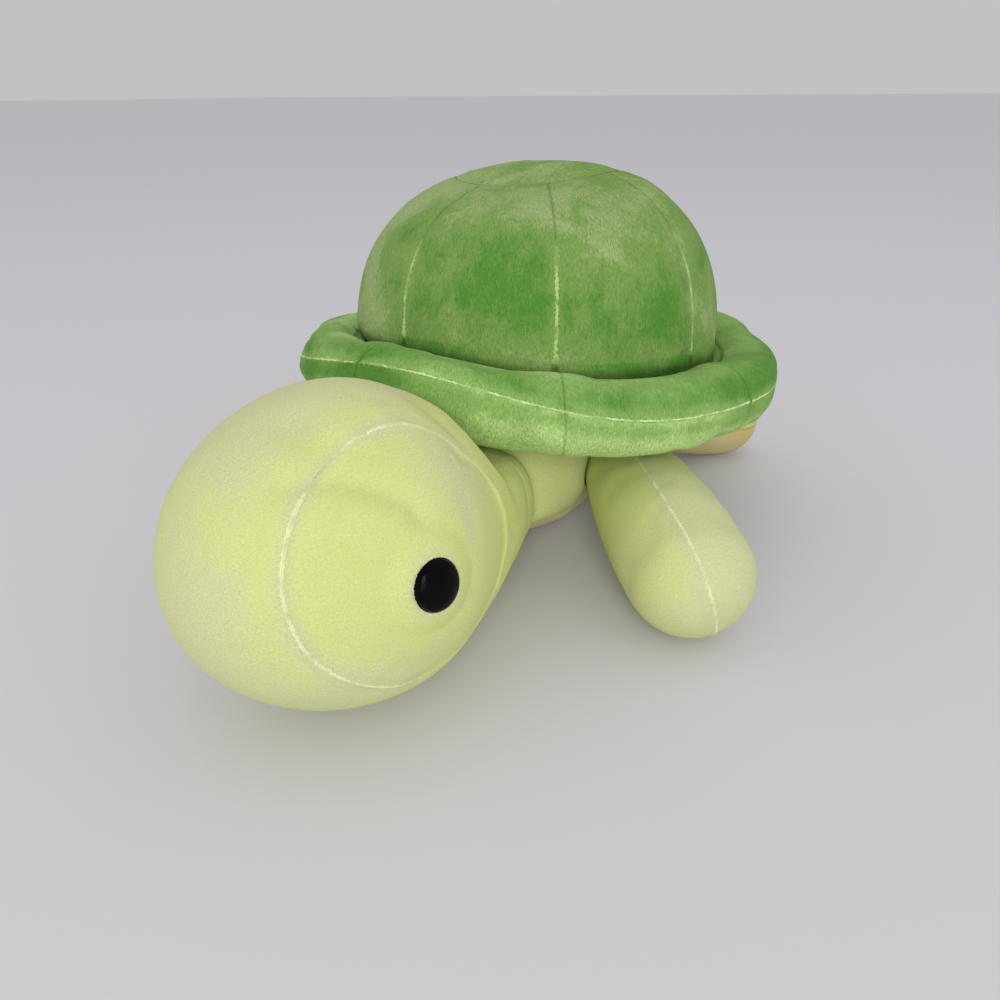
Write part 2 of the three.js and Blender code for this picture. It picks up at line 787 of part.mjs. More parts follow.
function buildHead() {
  const group = groupAt(turtle, headMatrix);
  const socket = neckBall(neckGap);
  const washerTop = -eye.seat - clothThickness - fitGap;
  const washerFoot = washerTop - washer.thickness;
  const stemHole = roundSolid(0, -eye.stemLength - fitGap, eye.stemRadius + fitGap);
  const seatSolid = turnedSolid(
    [[1, -eye.seat - fitGap], [1, overrun]],
    eye.halfWidth + fitGap,
    eye.halfHeight + fitGap,
    eyeFacets.around,
  ).add(stemHole);
  const pocketSolid = roundSolid(overrun, washerFoot - fitGap, washer.radius + fitGap).add(stemHole);
  const onBothSides = (solid) => moved(solid, eyeMatrix(1)).add(moved(solid, eyeMatrix(-1)));
  const groundAt = (inset) => moved(ground, new THREE.Matrix4().makeTranslation(0, 0, inset));
  const outer = headForm(0).add(napeForm(0)).subtract(ground);
  const inner = headForm(coverInset).add(napeForm(coverInset)).subtract(groundAt(coverInset));
  const cover = outer.subtract(inner).subtract(socket).subtract(onBothSides(seatSolid));
  for (const [name, side] of [["left", 1], ["right", -1]]) {
    const facing = new THREE.Matrix4().makeRotationY((side * Math.PI) / 2);
    const beyond = spaceAbove(headMatrix.clone().multiply(facing), head.gussetHalfWidth + seamGap / 2);
    addPiece(group, "head_side_" + name, cover.intersect(beyond), limeCloth);
    addPiece(group, "eye_" + name, moved(eyeSolid(), eyeMatrix(side)), blackPlastic);
    const hole = roundSolid(overrun, -2 * eye.stemLength, eye.stemRadius + washer.holeGap);
    const ring = roundSolid(washerTop, washerFoot, washer.radius).subtract(hole);
    addPiece(group, "eye_washer_" + name, moved(ring, eyeMatrix(side)), palePlastic);
  }
  const middle = boxAt(
    headMatrix,
    new THREE.Vector3(-head.gussetHalfWidth + seamGap / 2, -reach, -reach),
    new THREE.Vector3(head.gussetHalfWidth - seamGap / 2, reach, reach),
  );
  addPiece(group, "head_gusset", cover.intersect(middle), limeCloth);
  const ball = headForm(stuffingInset, stuffingFacets).add(napeForm(stuffingInset));
  const stuffing = ball.subtract(groundAt(stuffingInset)).subtract(socket);
  addPiece(group, "head_stuffing", stuffing.subtract(onBothSides(pocketSolid)), fibre);
}

function buildShell() {
  const group = groupAt(turtle, domeMatrix);
  const zone = brimZone(-fitGap);
  for (let gore = 0; gore < dome.goreCount; gore++) {
    const start = firstSeam + gore * goreAngle;
    const turnAt = (u, distance) => {
      const half = seamGap / 2 / distance;
      return THREE.MathUtils.lerp(start + half, start + goreAngle - half, u);
    };
    const panel = panelSolid(
      (u, v, depth) => {
        const middle = domeSurface(start, v, 0);
        return domeSurface(turnAt(u, Math.hypot(middle.x, middle.y)), v, depth);
      },
      goreFacets.across,
      goreFacets.up,
      clothThickness,
    );
    addPiece(group, "shell_gore_" + (gore + 1), moved(panel, domeMatrix).subtract(zone), shellCloth);
  }
  const edgeClimb = topClimb + seamGap / dome.topPanelRadius;
  const topRing = (climb, inset) =>
    Array.from({ length: dome.goreCount * goreFacets.across }, (_, i) => {
      return domePoint(firstSeam + (goreAngle * i) / goreFacets.across, climb, inset);
    });
  const topPanel = ringSolid(
    domePoint(0, Math.PI / 2, coverInset),
    [
      topRing(crownClimb, coverInset),
      topRing(edgeClimb, coverInset),
      topRing(edgeClimb, 0),
      topRing(crownClimb, 0),
    ],
    domePoint(0, Math.PI / 2, 0),
  );
  addPiece(group, "shell_top_panel", moved(topPanel, domeMatrix), shellCloth);
  const roll = brimForm(-fitGap);
  const base = baseSlab(-clothThickness, 0, 0).subtract(roll);
  addPiece(group, "shell_base_panel", base, brimCloth);
  const below = baseSlab(-reach, fillGap, overrun);
  const stuffing = domeForm(stuffingInset).subtract(below).subtract(roll);
  addPiece(group, "shell_stuffing", stuffing, fibre);
}

function buildBrim() {
  const group = groupAt(turtle, unturned);
  const half = seamGap / 2;
  for (let section = 0; section < dome.goreCount; section++) {
    const start = firstSeam + section * goreAngle;
    const turnAt = (u) => {
      const inset = half / (ringHalfWidth - brim.rollRadius);
      return THREE.MathUtils.lerp(start + inset, start + goreAngle - inset, u);
    };
    const strips = [
      ["upper", 1, brimFacets.upper],
      ["lower", -1, brimFacets.lower],
    ];
    for (const [name, sense, rows] of strips) {
      const strip = panelSolid(
        (u, v, depth) => {
          const turn = turnAt(u);
          const seam = brimSeamAngle(turn) + (sense * half) / brim.rollRadius;
          const wrap = sense * radians(brim.wrapAngle);
          const angle = sense > 0 ? THREE.MathUtils.lerp(seam, wrap, v) : THREE.MathUtils.lerp(wrap, seam, v);
          return brimPoint(turn, angle, depth);
        },
        goreFacets.across,
        rows,
        clothThickness,
      );
      addPiece(group, "brim_" + name + "_" + (section + 1), strip, brimCloth);
    }
  }
  addPiece(group, "brim_stuffing", brimForm(stuffingInset, brimFacets.stuffing), fibre);
}

function buildLimb(name, limb, side) {
  const frame = limbFrame(limb, side);
  const group = groupAt(turtle, new THREE.Matrix4().setPosition(frame.root));
  const raised = (inset) => moved(ground, new THREE.Matrix4().makeTranslation(0, 0, inset));
  const outer = limbForm(limb, side, 0).subtract(raised(0));
  const inner = limbForm(limb, side, coverInset).subtract(raised(coverInset));
  const backwards = frame.matrix.clone().multiply(new THREE.Matrix4().makeRotationY(-Math.PI / 2));
  const cover = outer.subtract(inner).subtract(spaceAbove(backwards, limb.rootRadius * rootOpenShare));
  const upright = name.startsWith("front");
  const split = upright ? new THREE.Matrix4().makeRotationX(-side * radians(90 - limb.seamTurn)) : unturned;
  const facing = frame.matrix.clone().multiply(split);
  const [first, second] = upright ? ["_rear_panel", "_front_panel"] : ["_upper_panel", "_sole"];
  const looks = upright ? [limeCloth, limeCloth] : [limeCloth, creamCloth];
  addPiece(group, name + first, cover.intersect(spaceAbove(facing, seamGap / 2)), looks[0]);
  addPiece(group, name + second, cover.subtract(spaceAbove(facing, -seamGap / 2)), looks[1]);
  const stuffing = limbForm(limb, side, stuffingInset).subtract(raised(stuffingInset));
  addPiece(group, name + "_stuffing", stuffing, fibre);
}

buildBody();
buildNeck();
buildHead();
buildShell();
buildBrim();
for (const [name, limb, side] of limbs) {
  buildLimb(name, limb, side);
}

export default turtle;
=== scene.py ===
import math

import bmesh
import bpy
import numpy as np
from mathutils import Matrix, Vector
from mathutils.kdtree import KDTree


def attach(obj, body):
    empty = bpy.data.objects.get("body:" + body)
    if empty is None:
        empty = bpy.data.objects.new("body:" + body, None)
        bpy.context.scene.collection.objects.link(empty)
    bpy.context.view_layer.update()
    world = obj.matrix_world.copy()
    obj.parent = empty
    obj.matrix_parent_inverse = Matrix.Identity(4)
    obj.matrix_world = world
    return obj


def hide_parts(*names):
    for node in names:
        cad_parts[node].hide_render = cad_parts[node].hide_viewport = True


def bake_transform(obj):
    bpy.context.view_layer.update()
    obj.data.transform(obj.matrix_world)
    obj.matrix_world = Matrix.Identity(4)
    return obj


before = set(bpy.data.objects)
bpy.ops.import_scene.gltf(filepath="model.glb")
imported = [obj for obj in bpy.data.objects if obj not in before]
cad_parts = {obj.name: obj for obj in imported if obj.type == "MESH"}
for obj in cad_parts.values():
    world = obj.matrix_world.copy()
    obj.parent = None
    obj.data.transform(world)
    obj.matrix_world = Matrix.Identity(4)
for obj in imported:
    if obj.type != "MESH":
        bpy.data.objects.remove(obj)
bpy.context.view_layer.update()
print("frame loaded")

# Settings, one dictionary for each form. Sizes are in metres and angles in degrees. A turn starts at -Y
# and grows towards +X. A wave is a height, the turn of its middle and its spread. A seam has a tone, from
# -1 for a dark crease to 1 for pale pile, and the depth to which it draws the cloth in. A dark tone also
# paints shade along open edges and where one piece presses on another.

body = dict(
    halfWidth=0.062, frontLength=0.132, backLength=0.096, middle=0.046, rise=0.060, drop=0.0465,
    backFullness=0.8, bellyFullness=0.6, seamHeight=0.019, seamWaves=((0.005, 38, 36), (0.005, -38, 36)),
    underBase=0.0036, ceilingBlend=0.004, lipPlace=-0.0970, lipTilt=10, lipDraw=0.0028,
    lipDrawReach=0.0070, mouthGap=0.0003, columns=96, topCap=38, footCap=34, rows=(22, 10),
    seam=(-0.4, 0.0014), sewing=dict(width=0.0028, pucker=0.0004, seed=11), brush=0.60, fill=0.7,
)
neck = dict(
    centre=(0.008, -0.107, 0.047), rimPlane=-0.1145, rimRadius=0.0462, rimRound=0.015, rimMiddle=-0.1115,
    bendEnd=-0.150, columns=144, foldRows=22,
)
head = dict(
    centre=(0.0138, -0.1946, 0.0665), halfWidth=0.066, faceLength=0.078, napeLength=0.056,
    halfHeight=0.067, turn=-11.2, roll=16, gusset=0.044, gussetWaves=((0.004, 140, 80), (-0.003, -90, 60)),
    napeTop=0.079, napeTopEnd=-0.137, napeSlope=3, underBrim=0.0035, swellPlace=(0.014, -0.120, 0.055),
    swellRadius=0.0425, swellRound=0.014, nearest=0.030, farthest=0.120, columns=96, sideCap=30,
    rows=(7, 26, 7), sewing=dict(width=0.0026, pucker=0.0002, seed=23), brush=0.45, fill=0.8,
)
eye = dict(
    forward=0.0114, drop=0.0069, halfHeight=0.0104, halfWidth=0.0096, dome=0.0042, rim=0.0018,
    seat=0.0009, columns=72, rows=14, highlightRingShare=1.04,
)
dome = dict(
    x=-0.002, halfWidth=0.1065, halfLength=0.103, height=0.102, overBrim=0.0135, fullness=2.34,
    leanBack=-10.3, leanSide=-4.9, gores=8, firstSeam=32.9, topPanel=0.048, skirt=0.016,
    frontDip=0.011, frontDipTurn=10, columns=128, rows=22, footGap=0.0006,
    sewing=dict(width=0.0030, pucker=0.0005, seed=37), brush=0.5, fill=0.8,
)
brim = dict(
    ringRadius=0.1205, rollRadius=0.020, height=0.085, waves=((0.022, 8, 110), (-0.005, 36, 46)),
    seamLift=10, seamWaves=((36, 0, 60),), wrap=150, columns=192, rows=dict(brimLower=18, brimUpper=12, hidden=5),
    sewing=dict(width=0.0028, pucker=0.0004, seed=41), fill=0.8,
)
shellBase = dict(underBrim=0.009, rimDrop=0.014, columns=128, thickness=0.003, clearance=0.0002, brush=0.3, fill=0.5)
flipperPanels = dict(panels=("UpperPanel", "Sole"), brush=(0.34, 0.34), tipBrush=0, seam=(-0.4, 0.0010))
frontFlipper = dict(
    root=(0.062, -0.017, 0.046), radius=0.022, tip=(0.1334, -0.0962), tipWidth=0.0306,
    tipHeight=0.0306, swell=0.003, seamTurn=17, bendStart=0.010, bendEnd=0.070, columns=56, rows=24,
    panels=("RearPanel", "FrontPanel"), brush=(0.60, 0.34), tipBrush=0.65, seam=(1.0, 0.0002),
)
rearFlipper = dict(
    root=(0.050, 0.062, 0.032), radius=0.020, tip=(0.087, 0.113), tipWidth=0.029,
    tipHeight=0.027, swell=0.001, bendStart=0.008, bendEnd=0.045, columns=48, rows=14, **flipperPanels,
)
tail = dict(
    root=(0, 0.082, 0.026), radius=0.012, tip=(0, 0.124), tipWidth=0.008,
    tipHeight=0.007, swell=0.001, bendStart=0.006, bendEnd=0.030, columns=32, rows=12, **flipperPanels,
)
limbs = [
    ("frontFlipperLeft", frontFlipper, 1),
    ("frontFlipperRight", frontFlipper, -1),
    ("rearFlipperLeft", rearFlipper, 1),
    ("rearFlipperRight", rearFlipper, -1),
    ("tail", tail, 1),
]
limbCover = dict(sewing=dict(width=0.0026, pucker=0.0003), seed=53, tipSpread=0.040, fill=0.75)
cloth = dict(
    frames=20, slack=0.0012, cap=0.0030, floor=0.0008, share=0.75,
    shares=dict(dome=0.45, brim=0.9, head=0.55, frontFlipperLeft=0.3, frontFlipperRight=0.3),
    solver=dict(
        quality=4, mass=0.20, tension_stiffness=12, compression_stiffness=12, bending_stiffness=0.4,
        use_pressure=True, uniform_pressure_force=4, shrink_min=-0.035, vertex_group_mass="held",
    ),
)
# Open edges are drawn in, and their dark tone is painted shade where a cover tucks in round another piece
openEdge = dict(tone=-0.5, depth=0.0018)
pileRidge = dict(height=0.0004, width=0.0012)
hem = dict(gap=0.00002, depths=(0.0009, 0.0026), shifts=(0.0002, 0.0010), lipDepth=0.0080)
pressedFlat = 0.0005
firstSeam = math.radians(dome["firstSeam"])


# Shape functions

def softMin(a, b, blend):
    share = np.clip(0.5 + 0.5 * (b - a) / blend, 0, 1)
    return b * (1 - share) + a * share - blend * share * (1 - share)


def softMax(a, b, blend):
    return -softMin(-a, -b, blend)


def smoothStep(low, high, value):
    share = np.clip((value - low) / (high - low), 0, 1)
    return share * share * (3 - 2 * share)


def fallOff(distance, width, power=2):
    return np.exp(-(distance / width) ** power)


def wrapAngle(angle):
    return np.arctan2(np.sin(angle), np.cos(angle))


def waveAt(turn, middle, spread):
    share = np.minimum(np.abs(wrapAngle(turn - math.radians(middle))) / math.radians(spread), 1)
    return 0.5 + 0.5 * np.cos(math.pi * share)


def sumWaves(turn, waves):
    return sum(height * waveAt(turn, middle, spread) for height, middle, spread in waves)


def turnOf(points):
    return np.arctan2(points[..., 0], -points[..., 1])


def turnedPlace(turn, distance, height):
    return np.stack([np.sin(turn) * distance, -np.cos(turn) * distance, height], -1)


def turnsOf(count, start=0.0):
    return start + 2 * math.pi * np.arange(count) / count


def moveBy(matrix, points):
    turned = np.asarray(matrix)[:3, :3]
    return points @ turned.T + np.asarray(matrix)[:3, 3]


def unitRow(vectors):
    return vectors / np.maximum(np.linalg.norm(vectors, axis=-1, keepdims=True), 1e-12)


def axesMatrix(axes, place):
    matrix = Matrix(axes).transposed().to_4x4()
    matrix.translation = place
    return matrix


# The angle at which a value falls through zero along each column
def solveRow(valueAt, low, high, steps=40):
    for _ in range(steps):
        middle = (low + high) / 2
        above = valueAt(middle) > 0
        low, high = np.where(above, middle, low), np.where(above, high, middle)
    return (low + high) / 2


def spreadRows(low, high, count, ease=0.5):
    even = np.linspace(0, 1, count + 1)
    eased = 0.5 - 0.5 * np.cos(math.pi * even)
    share = even * (1 - ease) + eased * ease
    low, high = np.asarray(low, float), np.asarray(high, float)
    return low + (high - low) * share.reshape((-1,) + (1,) * max(low.ndim, high.ndim))


# Brim and the panel under the shell

def brimHeight(turn):
    return brim["height"] + sumWaves(turn, brim["waves"])


def brimSeamAngle(turn):
    return np.radians(brim["seamLift"] + sumWaves(turn, brim["seamWaves"]))


def brimPoint(turn, angle):
    turn, angle = np.broadcast_arrays(turn, angle)
    height = brimHeight(turn) + brim["rollRadius"] * np.sin(angle)
    return turnedPlace(turn, brim["ringRadius"] + brim["rollRadius"] * np.cos(angle), height)


# Points as seen along the roll: outwards from the middle of its section, and up
def rollSection(points):
    across = np.hypot(points[..., 0], points[..., 1]) - brim["ringRadius"]
    return across, points[..., 2] - brimHeight(turnOf(points))


def rollDistance(points):
    return np.hypot(*rollSection(points))


def rollAngle(points):
    across, up = rollSection(points)
    return np.arctan2(up, across)


def baseHeight(points):
    share = np.minimum(np.hypot(points[..., 0], points[..., 1]) / dome["halfWidth"], 1) ** 2
    middle = brim["height"] - shellBase["underBrim"]
    return middle * (1 - share) + (brimHeight(turnOf(points)) - shellBase["rimDrop"]) * share


# Body, about the vertical

def bodyPoint(turn, polar):
    turn, polar = np.broadcast_arrays(turn, polar)
    direction = turnedPlace(turn, np.sin(polar), np.cos(polar))
    power = 2 + body["backFullness"] * np.maximum(direction[..., 1], 0)
    power = power + body["bellyFullness"] * np.maximum(-direction[..., 2], 0)
    swell = (np.abs(direction) ** power[..., None]).sum(-1) ** (-1 / power)
    length = np.where(direction[..., 1] < 0, body["frontLength"], body["backLength"])
    height = np.where(direction[..., 2] < 0, body["drop"], body["rise"])
    size = np.stack([np.full_like(length, body["halfWidth"]), length, height], -1)
    point = direction * swell[..., None] * size
    point[..., 2] += body["middle"]
    ceiling = baseHeight(point) - body["underBase"]
    point[..., 2] = softMin(point[..., 2], ceiling, body["ceilingBlend"])
    return point


# Head, about the line through its two sides: a hull round an egg, the rounded rim of the nape and the
# nape's swell, hollowed where it passes under the brim

headMatrix = (
    Matrix.Translation(head["centre"])
    @ Matrix.Rotation(math.radians(head["turn"]), 4, "Z")
    @ Matrix.Rotation(math.radians(-head["roll"]), 4, "Y")
)
headCentre = np.array(head["centre"])
neckCentre = np.array(neck["centre"])

# The head at its joints' limits
headSwings = [
    Matrix.Translation(neckCentre) @ Matrix.Rotation(math.radians(turn), 4, "Z")
    @ Matrix.Rotation(math.radians(lift), 4, "X") @ Matrix.Translation(-Vector(neckCentre))
    for turn in (-15, 0, 15) for lift in (-3, 0)
]


def neckPlace(y):
    return (neckCentre[0], y, neckCentre[2])


def discHeights(normals, place, radius, rounding):
    flat = np.hypot(normals[:, 0], normals[:, 2])
    return normals @ (np.array(place) - headCentre) + (radius - rounding) * flat + rounding


# Supporting planes of the hull, in even directions
def headPlanes(count=8000):
    index = np.arange(count) + 0.5
    rise = 1 - 2 * index / count
    turn = math.pi * (1 + math.sqrt(5)) * index
    flat = np.sqrt(1 - rise ** 2)
    normals = np.stack([np.cos(turn) * flat, np.sin(turn) * flat, rise], -1)
    local = normals @ np.asarray(headMatrix)[:3, :3]
    length = np.where(local[:, 1] < 0, head["faceLength"], head["napeLength"])
    size = np.stack([np.full(count, head["halfWidth"]), length, np.full(count, head["halfHeight"])], -1)
    own = np.linalg.norm(local * size, axis=1)
    rim = discHeights(normals, neckPlace(neck["rimMiddle"]), neck["rimRadius"], neck["rimRound"])
    swell = discHeights(normals, head["swellPlace"], head["swellRadius"], head["swellRound"])
    return normals, np.maximum(own, np.maximum(rim, swell))


hullNormals, hullHeights = headPlanes()


def hullReach(rays, batch=400, leastFacing=0.05):
    reach = np.empty(len(rays))
    for start in range(0, len(rays), batch):
        facing = rays[start:start + batch] @ hullNormals.T
        met = np.where(facing > leastFacing, hullHeights / np.maximum(facing, leastFacing), np.inf)
        reach[start:start + batch] = met.min(axis=1)
    return reach


# The first surface along each ray, found in steps and then halved down
def headPoint(turn, polar, step=0.002, blends=(0.003, 0.005)):
    turn, polar = np.broadcast_arrays(turn, polar)
    direction = np.stack([np.cos(polar), -np.sin(polar) * np.cos(turn), np.sin(polar) * np.sin(turn)], -1)
    rays = (direction @ np.asarray(headMatrix)[:3, :3].T).reshape(-1, 3)
    full = hullReach(rays)

    def outside(reach):
        point = headCentre + rays * reach[:, None]
        ceiling = head["napeTop"] + head["napeSlope"] * np.maximum(head["napeTopEnd"] - point[:, 1], 0)
        roof = (point[:, 2] - ceiling) / math.hypot(1, head["napeSlope"])
        near = np.min([rollDistance(moveBy(swing, point)) for swing in headSwings], axis=0)
        roll = brim["rollRadius"] + head["underBrim"] - near
        return softMax(reach - full, softMax(roof, roll, blends[0]), blends[1])

    outer = np.full(len(rays), head["farthest"])
    for reach in np.arange(head["nearest"] + step, head["farthest"], step):
        free = (outer > head["farthest"] - step / 2) & (outside(np.full(len(rays), reach)) > 0)
        outer = np.where(free, reach, outer)
    inner = outer - step
    for _ in range(12):
        middle = (inner + outer) / 2
        past = outside(middle) > 0
        inner, outer = np.where(past, inner, middle), np.where(past, middle, outer)
    return (headCentre + rays * inner[:, None]).reshape(turn.shape + (3,))


# Shell dome, about its leaning axis

domeMatrix = (
    Matrix.Translation((dome["x"], 0, brim["height"] + dome["overBrim"]))
    @ Matrix.Rotation(math.radians(dome["leanSide"]), 4, "Y")
    @ Matrix.Rotation(math.radians(dome["leanBack"]), 4, "X")
)
topClimb = math.acos((dome["topPanel"] / dome["halfWidth"]) ** (dome["fullness"] / 2))


# Climb is an angle up the curve, and below zero a share of the straight skirt
def domePoint(turn, climb):
    turn, climb = np.broadcast_arrays(turn, climb)
    up = np.clip(climb, 0, math.pi / 2)
    width = np.cos(up) ** (2 / dome["fullness"])
    height = np.sin(up) ** (2 / dome["fullness"])
    facing = np.maximum(np.cos(turn - math.radians(dome["frontDipTurn"])), 0)
    dip = dome["frontDip"] * facing ** 1.5 * np.sin(math.pi * width)
    local = np.stack([
        np.sin(turn) * width * dome["halfWidth"],
        -np.cos(turn) * width * dome["halfLength"],
        height * dome["height"] - dip + np.minimum(climb, 0) * dome["skirt"],
    ], -1)
    return moveBy(domeMatrix, local)


# The climb at a share of the top panel's radius
def topPanelClimb(share):
    width = np.clip(share * dome["topPanel"] / dome["halfWidth"], 0, 1) ** (dome["fullness"] / 2)
    return np.where(share == 1, topClimb, math.pi / 2 - np.arcsin(width))


# Limbs, about the line from the root ball to the tip

def limbMatrix(limb, side):
    root = Vector((limb["root"][0] * side, limb["root"][1], limb["root"][2]))
    tip = Vector((limb["tip"][0] * side, limb["tip"][1], limb["tipHeight"] - pressedFlat))
    along = (tip - root).normalized()
    across = Vector((0, 0, 1)).cross(along).normalized()
    return axesMatrix((along, across, along.cross(across)), root), (tip - root).length


def limbSize(limb, share):
    blend = smoothStep(0, 1, share)
    swell = limb["swell"] * np.sin(math.pi * np.clip(share, 0, 1))
    width = limb["radius"] * (1 - blend) + limb["tipWidth"] * blend + swell
    height = limb["radius"] * (1 - blend) + limb["tipHeight"] * blend + swell
    return width, height


# Stretch runs from -1 at the root's far end over 0 at its middle and 1 at the tip's middle to 2 at its end
def limbPoint(limb, side, turn, stretch):
    matrix, length = limbMatrix(limb, side)
    turn, stretch = np.broadcast_arrays(turn, stretch)
    rootAngle = np.clip(stretch + 1, 0, 1) * math.pi / 2
    tipAngle = np.clip(stretch - 1, 0, 1) * math.pi / 2
    flank = np.clip(stretch, 0, 1)
    width, height = limbSize(limb, flank)
    distance = flank * length - limb["radius"] * np.cos(rootAngle) + limb["tipWidth"] * np.sin(tipAngle)
    taper = np.sin(rootAngle) * np.cos(tipAngle)
    return moveBy(matrix, np.stack([distance, np.cos(turn) * width * taper, np.sin(turn) * height * taper], -1))


# How far points lie outside a limb
def limbClearance(limb, side, points):
    matrix, length = limbMatrix(limb, side)
    local = moveBy(matrix.inverted(), points)
    width, height = limbSize(limb, local[..., 0] / length)
    size = (width + height) / 2
    behind = np.minimum(local[..., 0], 0)
    return (np.sqrt((local[..., 1] / width) ** 2 + (local[..., 2] / height) ** 2 + (behind / size) ** 2) - 1) * size


# Meshes and objects

def newMesh(name, points, faces):
    mesh = bpy.data.meshes.new(name)
    mesh.from_pydata(np.asarray(points).tolist(), [], faces)
    return mesh


def addObject(name, data):
    made = bpy.data.objects.new(name, data)
    bpy.context.scene.collection.objects.link(made)
    return made


def editMesh(mesh, change):
    work = bmesh.new()
    work.from_mesh(mesh)
    change(work)
    work.to_mesh(mesh)
    work.free()


def joinPoints(work, distance):
    bmesh.ops.remove_doubles(work, verts=work.verts, dist=distance)
    bmesh.ops.recalc_face_normals(work, faces=work.faces)


def shadeSmooth(mesh):
    mesh.polygons.foreach_set("use_smooth", np.ones(len(mesh.polygons), bool))


def readMesh(mesh):
    values = []
    for key in ("co", "normal"):
        value = np.empty(len(mesh.vertices) * 3, np.float32)
        mesh.vertices.foreach_get(key, value)
        values.append(value.reshape(-1, 3).astype(float))
    return values


def writePoints(mesh, points, floor=-math.inf):
    points[:, 2] = np.maximum(points[:, 2], floor)
    mesh.vertices.foreach_set("co", points.astype(np.float32).ravel())
    mesh.update()


def readValue(mesh, name):
    value = np.empty(len(mesh.vertices), np.float32)
    mesh.attributes[name].data.foreach_get("value", value)
    return value


def writeValue(mesh, name, value):
    layer = mesh.attributes.get(name) or mesh.attributes.new(name, "FLOAT", "POINT")
    layer.data.foreach_set("value", np.asarray(value, np.float32))


# Grids of points that make the forms. A patch is its points and, for each cell, its corners and its panel,
# which is a name or a function of row and column

def sheetPatch(points, panel, closed=True):
    rows, columns = points.shape[:2]
    cells = []
    for row in range(rows - 1):
        for column in range(columns if closed else columns - 1):
            after = (column + 1) % columns
            low, high = row * columns, (row + 1) * columns
            corners = (low + column, low + after, high + after, high + column)
            cells.append((corners, panel(row, column) if callable(panel) else panel))
    return points.reshape(-1, 3), cells


# A square grid laid over a disc, whose border matches a ring of columns
def capPatch(pointAt, columns, panel):
    steps = np.linspace(-1, 1, columns // 4 + 1)
    a, b = np.meshgrid(steps, steps, indexing="ij")
    wide = np.abs(a) >= np.abs(b)
    safeA, safeB = np.where(a == 0, 1, a), np.where(b == 0, 1, b)
    reach = np.where(wide, np.abs(a), np.abs(b))
    turn = np.where(wide, math.pi / 4 * b / safeA, math.pi / 2 - math.pi / 4 * a / safeB)
    turn = np.where(np.where(wide, a, b) < 0, turn + math.pi, turn)
    return sheetPatch(pointAt(np.where(reach == 0, 0, turn), reach), panel, closed=False)


# Joins patches into one closed mesh object whose materials number its panels
def formObject(name, patches, panels):
    points, faces, numbers, offset = [], [], [], 0
    for patchPoints, cells in patches:
        points.append(patchPoints)
        for corners, panel in cells:
            faces.append([corner + offset for corner in corners])
            numbers.append(panels.index(panel))
        offset += len(patchPoints)
    mesh = newMesh(name + "Form", np.concatenate(points), faces)
    for _ in panels:
        mesh.materials.append(None)
    mesh.polygons.foreach_set("material_index", numbers)
    editMesh(mesh, lambda work: joinPoints(work, 2e-5))
    return addObject(name + "Form", mesh)


def bodyForm(names):
    count = body["columns"]
    turns = turnsOf(count)
    top, foot = math.radians(body["topCap"]), math.radians(body["footCap"])
    rise = body["seamHeight"] + sumWaves(turns, body["seamWaves"])
    seam = solveRow(
        lambda polar: bodyPoint(turns, polar)[..., 2] - rise,
        np.full(count, math.radians(60)), np.full(count, math.radians(170)),
    )
    upper = spreadRows(np.full(count, top), seam, body["rows"][0])
    lower = spreadRows(seam, np.full(count, math.pi - foot), body["rows"][1])
    return formObject("body", [
        sheetPatch(bodyPoint(turns, upper), names[0]),
        sheetPatch(bodyPoint(turns, lower), names[1]),
        capPatch(lambda turn, reach: bodyPoint(turn, reach * top), count, names[0]),
        capPatch(lambda turn, reach: bodyPoint(turn, math.pi - reach * foot), count, names[1]),
    ], names)


def headForm(names):
    count = head["columns"]
    turns = turnsOf(count)
    inverse = headMatrix.inverted()
    gusset = head["gusset"] + sumWaves(turns, head["gussetWaves"])

    def seamRow(side):
        def pastSeam(polar):
            points = headPoint(turns, polar if side > 0 else math.pi - polar)
            return moveBy(inverse, points)[..., 0] * side - gusset
        return solveRow(pastSeam, np.full(count, math.radians(25)), np.full(count, math.radians(89)), 16)

    left, right = seamRow(1), math.pi - seamRow(-1)
    cap = math.radians(head["sideCap"])
    bands = [(np.full(count, cap), left), (left, right), (right, np.full(count, math.pi - cap))]
    return formObject("head", [capPatch(lambda turn, reach: headPoint(turn, reach * cap), count, names[0])] + [
        sheetPatch(headPoint(turns, spreadRows(low, high, rows)), name)
        for (low, high), rows, name in zip(bands, head["rows"], names)
    ] + [capPatch(lambda turn, reach: headPoint(turn, math.pi - reach * cap), count, names[2])], names)


def goreNumber(column, columns):
    return str(column // (columns // dome["gores"]) + 1)


def domeForm(names):
    count = dome["columns"]
    turns = turnsOf(count, firstSeam)
    climbs = np.linspace(-1, 0.9, 381)
    gap = rollDistance(domePoint(turns[None, :], climbs[:, None])) - brim["rollRadius"] + dome["footGap"]
    start = climbs[len(climbs) - 1 - np.argmax((gap < 0)[::-1], axis=0)]
    rows = spreadRows(start, np.full(count, topClimb), dome["rows"], 0.35)
    foot = domePoint(turns, start)
    middle = foot.mean(axis=0)

    def footPoint(turn, share):
        place = np.interp(np.mod(turn, 2 * math.pi), np.append(turns - firstSeam, 2 * math.pi), np.arange(count + 1))
        low = np.floor(place).astype(int) % count
        part = (place - np.floor(place))[..., None]
        edge = foot[low] * (1 - part) + foot[(low + 1) % count] * part
        return middle + (edge - middle) * share[..., None]

    return formObject("dome", [
        sheetPatch(domePoint(turns, rows), lambda row, column: "shellGore" + goreNumber(column, count)),
        capPatch(lambda turn, reach: domePoint(turn + firstSeam, topPanelClimb(reach)), count, "shellTopPanel"),
        capPatch(footPoint, count, "hidden"),
    ], names)


